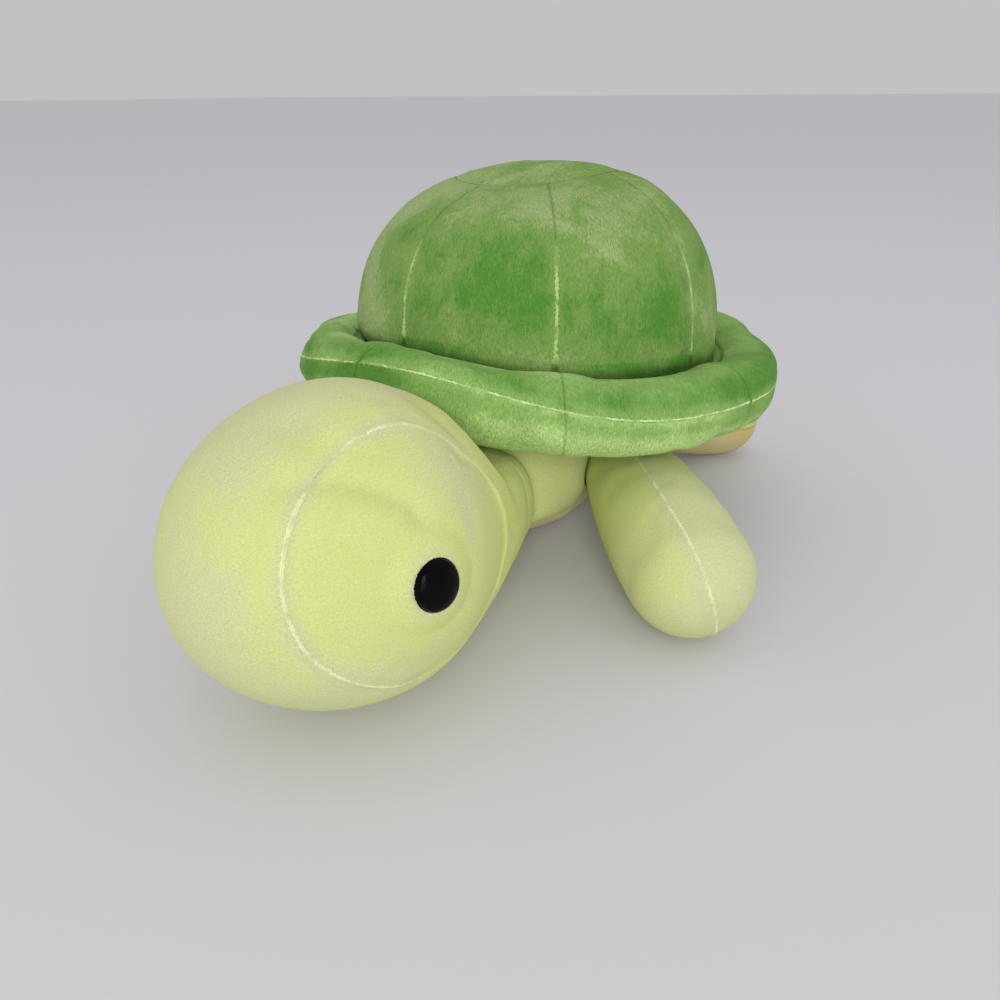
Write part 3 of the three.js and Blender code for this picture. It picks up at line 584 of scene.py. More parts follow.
def brimForm(names):
    count = brim["columns"]
    turns = turnsOf(count, firstSeam)
    seam = brimSeamAngle(turns)
    wrap = np.full(count, math.radians(brim["wrap"]))
    bands = dict(brimLower=(-wrap, seam), brimUpper=(seam, wrap), hidden=(wrap, 2 * math.pi - wrap))
    patches = []
    for name, (low, high) in bands.items():
        points = brimPoint(turns, spreadRows(low, high, brim["rows"][name], 0.3))
        label = name if name == "hidden" else lambda row, column, name=name: name + goreNumber(column, count)
        patches.append(sheetPatch(points, label))
    return formObject("brim", patches, names)


# On a front flipper the first panel is the half that faces the rear and outwards
def limbForm(name, limb, side, names):
    count = limb["columns"]
    upright = "seamTurn" in limb
    start = math.radians(limb["seamTurn"]) * side if upright else 0.0
    turns = turnsOf(count, start)

    def panelOf(turn):
        isFirst = math.cos(turn - start) * side > 0 if upright else math.sin(turn) > 0
        return names[0] if isFirst else names[1]

    label = lambda row, column: panelOf(turns[column] + math.pi / count)
    pointAt = lambda turn, stretch: limbPoint(limb, side, turn, stretch)
    patches = [
        sheetPatch(pointAt(turns, spreadRows(low, high, rows, 0)[:, None] * np.ones(count)), label)
        for low, high, rows in ((-1 / 3, 0.0, 4), (0.0, 1.0, limb["rows"]), (1.0, 1.5, 5))
    ]
    patches.append(capPatch(lambda turn, reach: pointAt(turn + start, -1 + reach * 2 / 3), count, "hidden"))
    points, cells = capPatch(lambda turn, reach: pointAt(turn + start, 2 - reach * 0.5), count, names[0])
    local = moveBy(limbMatrix(limb, side)[0].inverted(), points)
    middles = [local[list(corners)].mean(axis=0) for corners, _ in cells]
    labelled = [(corners, panelOf(math.atan2(at[2], at[1]))) for (corners, _), at in zip(cells, middles)]
    patches.append((points, labelled))
    return formObject(name, patches, names)


# Edges by the panels on their two sides
def edgePanels(mesh):
    panels = {}
    for face in mesh.polygons:
        for key in face.edge_keys:
            panels.setdefault(key, []).append(face.material_index)
    return panels


# Cloth: every closed form swells a little while its seams, hidden parts and underside are held

def heldPoints(mesh, hidden):
    held = {vertex.index for vertex in mesh.vertices if vertex.co.z < cloth["floor"]}
    for key, sides in edgePanels(mesh).items():
        if len(set(sides)) > 1 or hidden in sides:
            held.update(key)
    return sorted(held)


def swellForms(forms):
    scene = bpy.context.scene
    starts = {}
    for name, form in forms.items():
        points, normals = readMesh(form.data)
        names = panelNames[name]
        held = heldPoints(form.data, names.index("hidden") if "hidden" in names else -1)
        loose = np.ones(len(points), bool)
        loose[held] = False
        starts[name] = points.copy()
        points[loose] -= normals[loose] * cloth["slack"]
        writePoints(form.data, points)
        form.vertex_groups.new(name="held").add(held, 1.0, "REPLACE")
        modifier = form.modifiers.new("cloth", "CLOTH")
        for key, value in cloth["solver"].items():
            setattr(modifier.settings, key, value)
        modifier.settings.effector_weights.gravity = 0
        modifier.point_cache.frame_start, modifier.point_cache.frame_end = 1, cloth["frames"]
    for number in range(1, cloth["frames"] + 1):
        scene.frame_set(number)
    depsgraph = bpy.context.evaluated_depsgraph_get()
    results = {name: readMesh(form.evaluated_get(depsgraph).data)[0] for name, form in forms.items()}
    scene.frame_set(1)
    for name, form in forms.items():
        form.modifiers.clear()
        move = results[name] - starts[name]
        length = np.linalg.norm(move, axis=1, keepdims=True)
        move *= np.minimum(1, cloth["cap"] / np.maximum(length, 1e-9))
        print("swelled", name, "by", round(float(length.mean()) * 1000, 2), "mm on average")
        writePoints(form.data, starts[name] + move * cloth["shares"].get(name, cloth["share"]))


# One level of subdivision, with the undersides pressed flat on the floor
def smoothForm(form):
    form.modifiers.new("smooth", "SUBSURF").levels = 1
    mesh = bpy.data.meshes.new_from_object(form.evaluated_get(bpy.context.evaluated_depsgraph_get()))
    form.modifiers.clear()
    form.data = mesh
    writePoints(mesh, readMesh(mesh)[0], 0)


# Seams: samples of lines along panel edges and darts, each a place, a tone and a depth

def addLine(samples, start, end, tone, depth):
    for share in (0.0, 0.25, 0.5, 0.75, 1.0):
        samples.append((start + (end - start) * share, tone, depth))


def addPath(samples, path, tone, depth):
    for start, end in zip(path[:-1], path[1:]):
        addLine(samples, np.array(start), np.array(end), tone, depth)


# Distance to the nearest sample, its tone and its depth
def measureSeams(samples, points):
    tree = KDTree(len(samples))
    for index, (place, _, _) in enumerate(samples):
        tree.insert(place, index)
    tree.balance()
    measured = np.empty((3, len(points)))
    for index, point in enumerate(points):
        _, found, gap = tree.find(point)
        measured[:, index] = gap, samples[found][1], samples[found][2]
    return measured


def panelSeams(mesh, names, styleOf, lips=True):
    samples = []
    points, _ = readMesh(mesh)
    for (a, b), sides in edgePanels(mesh).items():
        pair = {names[side] for side in sides}
        # Open edges take the dark tone of painted shade
        if len(sides) < 2 and lips:
            addLine(samples, points[a], points[b], openEdge["tone"], openEdge["depth"])
        elif len(pair) > 1 and "hidden" not in pair:
            addLine(samples, points[a], points[b], *styleOf(pair, (points[a] + points[b]) / 2))
    return samples


# Fixed waves that stand for the unevenness of hand stuffing
def lumps(points, size, seed, count=7):
    rng = np.random.default_rng(seed)
    total = np.zeros(len(points))
    for _ in range(count):
        direction = unitRow(rng.normal(size=3))
        total += np.sin(points @ direction * 2 * math.pi / (size * rng.uniform(0.7, 1.5)) + rng.uniform(0, 6.28))
    return total / count


# Grooves and pale ridges along the seams, puckers beside them and broad lumps between them
def shapeSeams(mesh, samples, width, pucker, seed):
    points, normals = readMesh(mesh)
    distance, tone, depth = measureSeams(samples, points)
    ridge = pileRidge["height"] * smoothStep(0.6, 0.9, tone) * fallOff(distance, pileRidge["width"])
    ripple = lumps(points, 0.011, seed) * fallOff(distance - 0.004, 0.005)
    lump = lumps(points, 0.060, seed + 1) * np.clip(distance / 0.012, 0, 1)
    move = ridge - depth * fallOff(distance, width, 1.3) + pucker * ripple + 0.0006 * lump
    writePoints(mesh, points + normals * move[:, None], 0)
    writeValue(mesh, "seam", distance)
    writeValue(mesh, "tone", tone)


# Pushes the cloth in or out along a path of places
def pushCloth(mesh, folds):
    points, normals = readMesh(mesh)
    for path, height, width in folds:
        path = np.array(path, float)
        distance = np.full(len(points), np.inf)
        for start, end in zip(path[:-1], path[1:]):
            along = end - start
            share = np.clip(((points - start) @ along) / (along @ along), 0, 1)
            distance = np.minimum(distance, np.linalg.norm(points - start - share[:, None] * along, axis=1))
        points += normals * (height * fallOff(distance, width))[:, None]
    writePoints(mesh, points, 0)


# Opens a form where a measure of its points is below zero, after sliding its rim onto the zero line
def openForm(mesh, measure, step=0.0004, leastSlope=0.05, inside=-1e-9):
    points, normals = readMesh(mesh)
    value = measure(points)
    near = set()
    for edge in mesh.edges:
        a, b = edge.vertices
        if (value[a] < 0) != (value[b] < 0):
            near.add(a if abs(value[a]) < abs(value[b]) else b)
    rim = np.array(sorted(near), int)
    for _ in range(4):
        here = points[rim]
        level = measure(here)
        slope = np.stack([(measure(here + np.eye(3)[axis] * step) - level) / step for axis in range(3)], -1)
        slope -= normals[rim] * (slope * normals[rim]).sum(-1, keepdims=True)
        square = np.maximum((slope ** 2).sum(-1, keepdims=True), leastSlope)
        points[rim] = here - slope * (level[:, None] / square)
    writePoints(mesh, points)
    value = measure(points)
    value[rim] = 0

    def cut(work):
        work.verts.ensure_lookup_table()
        for face in list(work.faces):
            corners = list(face.verts)
            within = [at for at, corner in enumerate(corners) if value[corner.index] < inside]
            if len(corners) == 4 and len(within) == 1:
                bmesh.utils.face_split(face, corners[within[0] - 1], corners[(within[0] + 1) % 4])
        gone = [face for face in work.faces if min(value[corner.index] for corner in face.verts) < inside]
        bmesh.ops.delete(work, geom=gone, context="FACES")

    editMesh(mesh, cut)


def cutPlane(mesh, place, normal):
    editMesh(mesh, lambda work: bmesh.ops.bisect_plane(
        work, geom=list(work.verts) + list(work.edges) + list(work.faces), dist=1e-6,
        plane_co=place, plane_no=normal, clear_outer=True))


# Turns, distances and places along Y of the open edge near a plane, about the neck's line
def rimLoop(mesh, place, across, reach=0.004):
    points, _ = readMesh(mesh)
    ends = sorted({end for key, sides in edgePanels(mesh).items() if len(sides) < 2 for end in key})
    edge = points[ends]
    loop = edge[np.abs((edge - np.array(place)) @ np.array(across)) < reach] - neckCentre
    turn = np.mod(np.arctan2(loop[:, 2], loop[:, 0]), 2 * math.pi)
    order = np.argsort(turn)
    loop, turn = loop[order], turn[order]
    around = lambda value, lap=0: np.concatenate([value[-3:] - lap, value, value[:3] + lap])
    return around(turn, 2 * math.pi), around(np.hypot(loop[:, 0], loop[:, 2])), around(loop[:, 1])


# Panels: each becomes a piece of its own, with its edges turned in along the seams

def splitPanels(name, finishPiece):
    form = forms[name]
    mesh, names = form.data, panelNames[name]
    points, normals = readMesh(mesh)
    values = {key: readValue(mesh, key) for key in ("seam", "tone")}
    panels = {panel: [] for panel in names}
    for face in mesh.polygons:
        panels[names[face.material_index]].append(tuple(face.vertices))
    openEdges = {key for key, sides in edgePanels(mesh).items() if len(sides) == 1}
    for panel, faces in panels.items():
        if panel != "hidden" and faces:
            finishPiece(panelObject(panel, faces, points, normals, values, openEdges), panel)
    bpy.data.objects.remove(form)


def panelObject(name, faces, points, normals, values, openEdges):
    borders = {}
    for face in faces:
        for a, b in zip(face, face[1:] + face[:1]):
            if (b, a) in borders:
                del borders[(b, a)]
            else:
                borders[(a, b)] = face
    inwards, lips = {}, set()
    for (a, b), face in borders.items():
        centre = points[list(face)].mean(axis=0)
        for end in (a, b):
            inwards.setdefault(end, []).append(unitRow(centre - points[end]))
        if (min(a, b), max(a, b)) in openEdges:
            lips.update((a, b))
    old = sorted({vertex for face in faces for vertex in face})
    number = {vertex: index for index, vertex in enumerate(old)}
    made = points[old].copy()
    rings, extra, extraFrom = [{}, {}, {}], [], []
    for vertex, directions in inwards.items():
        inward = np.mean(directions, axis=0)
        inward = unitRow(inward - normals[vertex] * (inward @ normals[vertex]))
        steps = list(zip(hem["depths"], hem["shifts"]))
        if vertex in lips:
            steps = [(depth, -shift / 2) for depth, shift in steps + [(hem["lipDepth"], hem["shifts"][0])]]
        else:
            made[number[vertex]] += inward * hem["gap"]
        for ring, (depth, shift) in zip(rings, steps):
            ring[vertex] = len(made) + len(extra)
            extra.append(points[vertex] - normals[vertex] * depth + inward * shift)
            extraFrom.append(vertex)
    newFaces = [tuple(number[vertex] for vertex in face) for face in faces]
    for a, b in borders:
        low = (number[a], number[b])
        for ring in rings:
            if a not in ring or b not in ring:
                break
            high = (ring[a], ring[b])
            newFaces.append((low[1], low[0], high[0], high[1]))
            low = high
    mesh = newMesh(name, np.concatenate([made, np.array(extra).reshape(-1, 3)]), newFaces)
    for key, value in values.items():
        writeValue(mesh, key, value[old + extraFrom])
    shadeSmooth(mesh)
    mesh.update()
    rims = {tuple(sorted((number[a], number[b]))) for a, b in borders}
    sharp = [edge.key in rims for edge in mesh.edges]
    mesh.attributes.new("sharp_edge", "BOOLEAN", "EDGE").data.foreach_set("value", sharp)
    return addObject(name, mesh)


# The lay of the pile: metres across it and along it at every corner
def writeLay(mesh, layOf, stretch=1.0):
    count = len(mesh.loops)
    vertex = np.empty(count, np.int32)
    mesh.loops.foreach_get("vertex_index", vertex)
    sizes = np.empty(len(mesh.polygons), np.int32)
    mesh.polygons.foreach_get("loop_total", sizes)
    centres = np.empty(len(mesh.polygons) * 3, np.float32)
    mesh.polygons.foreach_get("center", centres)
    points, _ = readMesh(mesh)
    lay = layOf(points[vertex], np.repeat(centres.reshape(-1, 3).astype(float), sizes, axis=0))
    values = np.column_stack([lay[:, 0], lay[:, 1] * stretch, np.zeros(count)])
    mesh.attributes.new("lay", "FLOAT_VECTOR", "CORNER").data.foreach_set("vector", values.astype(np.float32).ravel())


def unwrapped(angle, reference):
    return reference + wrapAngle(angle - reference)


def turnedLay(matrix, axis, radius, alongOf):
    inverse = matrix.inverted()
    a, b = [k for k in range(3) if k != axis]

    def layOf(points, centres):
        local, middle = moveBy(inverse, points), moveBy(inverse, centres)
        turn = unwrapped(np.arctan2(local[:, b], local[:, a]), np.arctan2(middle[:, b], middle[:, a]))
        return np.column_stack([turn * radius, alongOf(local)])
    return layOf


def flatLay(matrix, across, along):
    inverse = matrix.inverted()

    def layOf(points, centres):
        local = moveBy(inverse, points)
        return np.column_stack([local[:, across], local[:, along]])
    return layOf


# How far the pile is brushed against its lay, with painted sheen and painted shade added on the head and the brim: 0
# deep, 0.5 plain, 1 pale
def writeBrush(mesh, base, spots):
    points, _ = readMesh(mesh)
    value = base(points) if callable(base) else np.full(len(points), float(base))
    for place, size, amount in spots:
        value += amount * np.exp(-(((points - np.array(place)) / np.array(size)) ** 2).sum(axis=1))
    writeValue(mesh, "brush", value)


# Materials. In the pattern a noise is its scale, detail, roughness and warp, a stroke its density across
# and along the pile and its detail, and a ramp the two values that it runs between and what it gives there

pattern = dict(
    wander=(90, 2.0, 0.5), sway=0.004, longStroke=(1500, 420, 2.0), shortStroke=(3200, 1000, 2.0),
    raggedStroke=(420, 130, 3.0), broad=(22, 2.0, 0.5, 0.5), small=(85, 3.0, 0.6, 0.8), broadShare=3.0,
    halo=(0.0, 0.007, 0.26, 0.0), toPlain=(0.10, 0.50), toPale=(0.50, 0.86), longShare=0.6, shortShare=0.4,
    strength=(0.3, 0.85, 3.0, 4.4), uneven=(800, 3.0, 0.7), width=(0.28, 0.72, 0.30, 1.90),
    line=(0.45, 1.2, 1.0, 0.0), broken=(140, 2.0, 0.5), fade=(0.36, 0.58, 0.30, 1.0),
    crease=(0.0001, 0.0011, 0.85, 0.0), creaseAndShadeTint=(0.26, 0.30, 0.20, 1), threadRise=0.9, creaseDrop=0.8,
    roughness=(0.3, 0.7, 0.82, 0.98),
)
# Plain, pale, deep and thread colours, patchiness, stroke, seam width, relief and sheen
plushKinds = dict(
    skin=((210, 215, 140), (206, 207, 157), (199, 210, 113), (234, 239, 184), 0.20, 0.20, 0.0007, 0.40, 0.12),
    belly=((207, 197, 143), (218, 210, 168), (194, 178, 120), (224, 214, 166), 0.20, 0.16, 0.0009, 0.44, 0.12),
    shell=((122, 156, 80), (154, 174, 114), (84, 138, 52), (182, 218, 130), 0.48, 0.54, 0.0010, 0.85, 0.08),
    brim=((134, 174, 92), (178, 209, 130), (90, 142, 54), (214, 246, 168), 0.28, 0.52, 0.0006, 0.90, 0.08),
)
surfaceOutputs = [("Colour", "NodeSocketColor"), ("Height", "NodeSocketFloat"), ("Roughness", "NodeSocketFloat")]


def setInputs(tree, node, values):
    for key, value in values:
        if isinstance(value, bpy.types.NodeSocket):
            tree.links.new(value, node.inputs[key])
        else:
            node.inputs[key].default_value = value


def addNode(tree, kind, values=(), **settings):
    node = tree.nodes.new(kind)
    for key, value in settings.items():
        setattr(node, key, value)
    setInputs(tree, node, values)
    return node


def newGroup(name, inputs):
    tree = bpy.data.node_groups.new(name, "ShaderNodeTree")
    for label, kind, default in inputs:
        tree.interface.new_socket(label, in_out="INPUT", socket_type=kind).default_value = default
    for label, kind in surfaceOutputs:
        tree.interface.new_socket(label, in_out="OUTPUT", socket_type=kind)
    return tree, tree.nodes.new("NodeGroupInput").outputs, tree.nodes.new("NodeGroupOutput")


def mathOf(tree, operation, a, b=0.5, clamp=False):
    return addNode(tree, "ShaderNodeMath", [(0, a), (1, b)], operation=operation, use_clamp=clamp).outputs[0]


def rampOf(tree, value, low, high, start=0.0, end=1.0):
    values = enumerate((value, low, high, start, end))
    return addNode(tree, "ShaderNodeMapRange", values, interpolation_type="SMOOTHSTEP").outputs[0]


def mixOf(tree, factor, a, b, mode="MIX"):
    values = [(0, factor), (6, a), (7, b)]
    return addNode(tree, "ShaderNodeMix", values, data_type="RGBA", blend_type=mode).outputs[2]


def noiseOf(tree, vector, scale, detail=2.0, rough=0.5, warp=0.0):
    values = [("Vector", vector), ("Scale", scale), ("Detail", detail), ("Roughness", rough), ("Distortion", warp)]
    return addNode(tree, "ShaderNodeTexNoise", values).outputs[0]


def objectPlace(tree):
    return tree.nodes.new("ShaderNodeTexCoord").outputs["Object"]


# Short plush: brushed patches, strokes along the lay, and seams that part the pile; the brush level and the dark seam
# tone also carry painted sheen and painted shade
def plushGroup():
    tree, given, out = newGroup("plushPile", [
        ("Plain", "NodeSocketColor", (0.5, 0.5, 0.5, 1)),
        ("Pale", "NodeSocketColor", (0.7, 0.7, 0.7, 1)),
        ("Deep", "NodeSocketColor", (0.3, 0.3, 0.3, 1)),
        ("Thread", "NodeSocketColor", (0.8, 0.8, 0.8, 1)),
        ("Patchiness", "NodeSocketFloat", 0.5),
        ("Stroke", "NodeSocketFloat", 0.3),
        ("Seam Width", "NodeSocketFloat", 0.0008),
    ])

    def plus(a, b, clamp=False):
        return mathOf(tree, "ADD", a, b, clamp)

    def minus(a, b=0.5):
        return mathOf(tree, "SUBTRACT", a, b)

    def times(a, b, clamp=False):
        return mathOf(tree, "MULTIPLY", a, b, clamp)

    def ramp(value, key):
        return rampOf(tree, value, *pattern[key])

    def noise(key):
        return noiseOf(tree, place, *pattern[key])

    def vector(operation, a, b):
        return addNode(tree, "ShaderNodeVectorMath", [(0, a), (1, b)], operation=operation).outputs[0]

    def attribute(name, kind="Fac"):
        return addNode(tree, "ShaderNodeAttribute", attribute_name=name).outputs[kind]

    def strokes(key):
        across, along, detail = pattern[key]
        return noiseOf(tree, vector("MULTIPLY", bent, (across, along, 1)), 1.0, detail, 0.6)

    place = objectPlace(tree)
    seam, tone, brush = attribute("seam"), attribute("tone"), attribute("brush")
    sway = addNode(tree, "ShaderNodeCombineXYZ", [(0, times(noise("wander"), pattern["sway"]))]).outputs[0]
    bent = vector("ADD", attribute("lay", "Vector"), sway)
    patch = times(minus(noise("broad")), times(given["Patchiness"], pattern["broadShare"]))
    for value in (noise("small"), strokes("raggedStroke")):
        patch = plus(patch, times(minus(value), given["Patchiness"]))
    pileTone = times(tone, 1.0, clamp=True)
    halo = times(ramp(seam, "halo"), pileTone)
    # The level holds the brush value, in which painted sheen and painted shade are written, with the pale halo by
    # seams and the patches
    level = plus(plus(brush, halo), patch, clamp=True)
    colour = mixOf(tree, ramp(level, "toPlain"), given["Deep"], given["Plain"])
    colour = mixOf(tree, ramp(level, "toPale"), colour, given["Pale"])
    long, short = strokes("longStroke"), strokes("shortStroke")
    grain = plus(times(long, pattern["longShare"]), times(short, pattern["shortShare"]))
    shade = times(minus(grain), times(given["Stroke"], ramp(level, "strength")))
    lit = addNode(tree, "ShaderNodeHueSaturation", [("Color", colour), ("Value", plus(shade, 1.0))]).outputs[0]
    width = times(given["Seam Width"], ramp(noise("uneven"), "width"))
    line = ramp(mathOf(tree, "DIVIDE", seam, width), "line")
    thread = times(times(line, ramp(noise("broken"), "fade")), pileTone)
    # Dark tones darken the colour by the seam: the dark thread line of a sewn joint, and painted shade along open
    # edges and where pieces press together
    crease = times(ramp(seam, "crease"), times(tone, -1.0, clamp=True))
    lit = mixOf(tree, thread, lit, given["Thread"])
    dark = mixOf(tree, 1.0, lit, pattern["creaseAndShadeTint"], "MULTIPLY")
    height = plus(grain, times(thread, pattern["threadRise"]))
    setInputs(tree, out, [
        ("Colour", mixOf(tree, crease, lit, dark)),
        ("Height", minus(height, times(crease, pattern["creaseDrop"]))),
        ("Roughness", ramp(grain, "roughness")),
    ])
    return tree


def mouldedGroup(name, colour, roughness):
    tree, given, out = newGroup(name, [("Plain", "NodeSocketColor", colour)])
    place = objectPlace(tree)
    cloud, speck = noiseOf(tree, place, 60), noiseOf(tree, place, 2600)
    value = rampOf(tree, cloud, 0.3, 0.7, 0.9, 1.1)
    tint = addNode(tree, "ShaderNodeHueSaturation", [("Color", given["Plain"]), ("Value", value)])
    setInputs(tree, out, [
        ("Colour", tint.outputs[0]),
        ("Height", speck),
        ("Roughness", rampOf(tree, cloud, 0.3, 0.7, roughness * 0.8, roughness * 1.3)),
    ])
    return tree


def newMaterial(name):
    made = bpy.data.materials.new(name)
    made.use_nodes = True
    return made, made.node_tree, made.node_tree.nodes["Principled BSDF"]


def surfaceMaterial(name, group, given, relief, depth, finish):
    made, tree, shader = newMaterial(name)
    surface = addNode(tree, "ShaderNodeGroup", given, node_tree=group).outputs
    bump = addNode(tree, "ShaderNodeBump", [("Strength", relief), ("Distance", depth), ("Height", surface["Height"])])
    links = [("Normal", bump.outputs[0]), ("Base Color", surface["Colour"]), ("Roughness", surface["Roughness"])]
    setInputs(tree, shader, links + finish)
    return made


def srgb(red, green, blue):
    shares = [value / 255 for value in (red, green, blue)]
    return tuple(share / 12.92 if share < 0.04045 else ((share + 0.055) / 1.055) ** 2.4 for share in shares) + (1,)


def plushMaterial(name, plain, pale, deep, thread, patchiness, stroke, seamWidth, relief, sheen):
    colours = dict(Plain=plain, Pale=pale, Deep=deep, Thread=thread)
    given = [(label, srgb(*value)) for label, value in colours.items()]
    given += [("Patchiness", patchiness), ("Stroke", stroke), ("Seam Width", seamWidth)]
    finish = [("Specular IOR Level", 0.15), ("Sheen Weight", sheen), ("Sheen Roughness", 0.45)]
    return surfaceMaterial(name, plush, given, relief, 0.0007, finish + [("Sheen Tint", srgb(*pale))])


def mouldedMaterial(name, colour, roughness, gloss):
    group = mouldedGroup(name + "Surface", colour, roughness)
    return surfaceMaterial(name, group, [("Plain", colour)], 0.05, 0.0001, [("Specular IOR Level", gloss)])


plush = plushGroup()
looks = {kind: (plushMaterial(kind + "Plush", *values), kind + "_plush") for kind, values in plushKinds.items()}
eyePlastic = mouldedMaterial("eyePlastic", (0.0032, 0.0024, 0.0034, 1), 0.20, 0.05)
palePlastic = mouldedMaterial("palePlastic", (0.75, 0.74, 0.70, 1), 0.40, 0.4)


# Camera at the photograph's angle

camera = dict(azimuth=30.53, elevation=28.79, roll=-0.49, lens=26.777, place=(0.2051, -0.3941, 0.2317))


def addCamera():
    around, up, roll = [math.radians(camera[key]) for key in ("azimuth", "elevation", "roll")]
    back = Vector((math.sin(around) * math.cos(up), -math.cos(around) * math.cos(up), math.sin(up)))
    right = Vector((math.cos(around), math.sin(around), 0))
    above = back.cross(right)
    turnedRight = right * math.cos(roll) + above * math.sin(roll)
    turnedUp = above * math.cos(roll) - right * math.sin(roll)
    made = bpy.data.cameras.new("camera")
    made.lens, made.sensor_width, made.clip_start = camera["lens"], 36, 0.01
    holder = addObject("camera", made)
    holder.matrix_world = axesMatrix((turnedRight, turnedUp, back), camera["place"])
    bpy.context.scene.camera = holder


addCamera()


# Floor, world and lamps. A lamp is its place, power and size

stage = dict(
    floorSize=40.0, floorDrop=0.0003, paper=(214, 213, 218), light=0.70, seen=(0.54, 0.54, 0.56, 1),
    aim=(0, -0.05, 0.08), keyLamp=((1.20, -2.12, 1.40), 19.5, 0.9), fillLamp=((1.30, -2.00, 0.42), 10.0, 1.2),
    topLamp=((0.1, 0.5, 1.5), 0.5, 1.2),
)


def addFloor():
    size = stage["floorSize"]
    mesh = newMesh("floor", [(-size, -size, 0), (size, -size, 0), (size, size, 0), (-size, size, 0)], [(0, 1, 2, 3)])
    made, tree, shader = newMaterial("floorPaper")
    setInputs(tree, shader, [("Base Color", srgb(*stage["paper"])), ("Roughness", 0.95), ("Specular IOR Level", 0.1)])
    mesh.materials.append(made)
    floor = addObject("floor", mesh)
    floor.location.z = -stage["floorDrop"]


# The world is a plain backdrop to the camera and a brighter light to the toy
def addWorld():
    world = bpy.data.worlds.new("studio")
    bpy.context.scene.world = world
    world.use_nodes = True
    tree = world.node_tree
    path = tree.nodes.new("ShaderNodeLightPath").outputs
    seen = mathOf(tree, "MAXIMUM", path["Is Camera Ray"], path["Is Glossy Ray"])
    seen = mathOf(tree, "MAXIMUM", seen, path["Is Transmission Ray"])
    setInputs(tree, tree.nodes["Background"], [
        ("Color", mixOf(tree, seen, (1, 1, 1, 1), stage["seen"])),
        ("Strength", rampOf(tree, seen, 0.0, 1.0, stage["light"], 1.0)),
    ])


def addLamp(name, place, power, size):
    made = bpy.data.lights.new(name, "AREA")
    made.energy, made.size = power, size
    holder = addObject(name, made)
    holder.location = place
    holder.rotation_euler = (Vector(stage["aim"]) - Vector(place)).to_track_quat("-Z", "Y").to_euler()


bpy.context.scene.view_settings.view_transform = "Standard"
addFloor()
addWorld()
for name in ("keyLamp", "fillLamp", "topLamp"):
    addLamp(name, *stage[name])
print("stage ready")


# Building the pieces

def headPlace(x, y, z):
    return tuple(headMatrix @ Vector((x, y, z)))


def domePlace(turn, climb):
    return tuple(domePoint(np.array(math.radians(turn)), np.array(math.radians(climb))))


def toCadName(name):
    text = "".join("_" + c.lower() if c.isupper() else c for c in name)
    for kind in ("shell_gore", "brim_upper", "brim_lower"):
        if text.startswith(kind):
            return kind + "_" + text[len(kind):]
    return text


# A body name carries a piece whole; with a tuple of two bodies, a start and an end, the piece is only baked in place
def finishPanel(piece, name, carrier, look, layOf, brush, spots, extra=()):
    material, slot = looks[look]
    piece.data.materials.append(material)
    writeLay(piece.data, layOf, 2.4 if look == "skin" else 1.0)
    writeBrush(piece.data, brush, spots)
    if isinstance(carrier, str):
        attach(piece, carrier)
    else:
        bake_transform(piece)
    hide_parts(toCadName(name), *extra)


identity = Matrix.Identity(4)
gores = range(1, dome["gores"] + 1)
panelNames = dict(
    body=["bodyBackPanel", "bodyBellyPanel"],
    head=["headSideLeft", "headGusset", "headSideRight"],
    dome=["shellGore%d" % number for number in gores] + ["shellTopPanel", "hidden"],
    brim=[strip + str(number) for strip in ("brimUpper", "brimLower") for number in gores] + ["hidden"],
)
forms = {
    name: makeForm(panelNames[name])
    for name, makeForm in (("body", bodyForm), ("head", headForm), ("dome", domeForm), ("brim", brimForm))
}
for name, limb, side in limbs:
    panelNames[name] = [name + panel for panel in limb["panels"]] + ["hidden"]
    forms[name] = limbForm(name, limb, side, panelNames[name])
print("forms made", {name: len(form.data.vertices) for name, form in forms.items()})

swellForms(forms)
for form in forms.values():
    smoothForm(form)
print("forms smoothed")


# Body

lipMiddle = neckPlace(body["lipPlace"])
lipAcross = (0, -math.cos(math.radians(body["lipTilt"])), -math.sin(math.radians(body["lipTilt"])))


# Draws the cover in towards the neck's line where the head is sewn on
def drawInLip(mesh):
    points, _ = readMesh(mesh)
    behind = (points - np.array(lipMiddle)) @ -np.array(lipAcross)
    offset = points - neckCentre
    offset[:, 1] = 0
    points -= unitRow(offset) * (body["lipDraw"] * fallOff(behind, body["lipDrawReach"]))[:, None]
    writePoints(mesh, points)


bodyMesh = forms["body"].data
cutPlane(bodyMesh, lipMiddle, lipAcross)
drawInLip(bodyMesh)
for _, limb, side in limbs:
    openForm(bodyMesh, lambda points, limb=limb, side=side: limbClearance(limb, side, points) + body["mouthGap"])
shapeSeams(bodyMesh, panelSeams(bodyMesh, panelNames["body"], lambda pair, place: body["seam"]), **body["sewing"])
bodyLay = turnedLay(identity, 2, 0.08, lambda local: local[:, 2])
bodyRim = rimLoop(bodyMesh, lipMiddle, lipAcross)
splitPanels("body", lambda piece, name: finishPanel(
    piece, name, "torso", "skin" if "Back" in name else "belly", bodyLay, body["brush"], [],
    ["body_stuffing"] if "Back" in name else []))


# Head

headMesh = forms["head"].data
rimPlace = neckPlace(neck["rimPlane"])
cutPlane(headMesh, rimPlace, (0, 1, 0))


def eyePlace(side):
    lengthShare = -eye["forward"] / head["faceLength"]
    heightShare = -eye["drop"] / head["halfHeight"]
    widthShare = math.sqrt(1 - lengthShare ** 2 - heightShare ** 2)
    place = Vector((side * widthShare * head["halfWidth"], -eye["forward"], -eye["drop"]))
    out = Vector((
        side * widthShare / head["halfWidth"], lengthShare / head["faceLength"], heightShare / head["halfHeight"]))
    out.normalize()
    right = Vector((0, 0, 1)).cross(out).normalized()
    return headMatrix @ axesMatrix((right, out.cross(right), out), place)


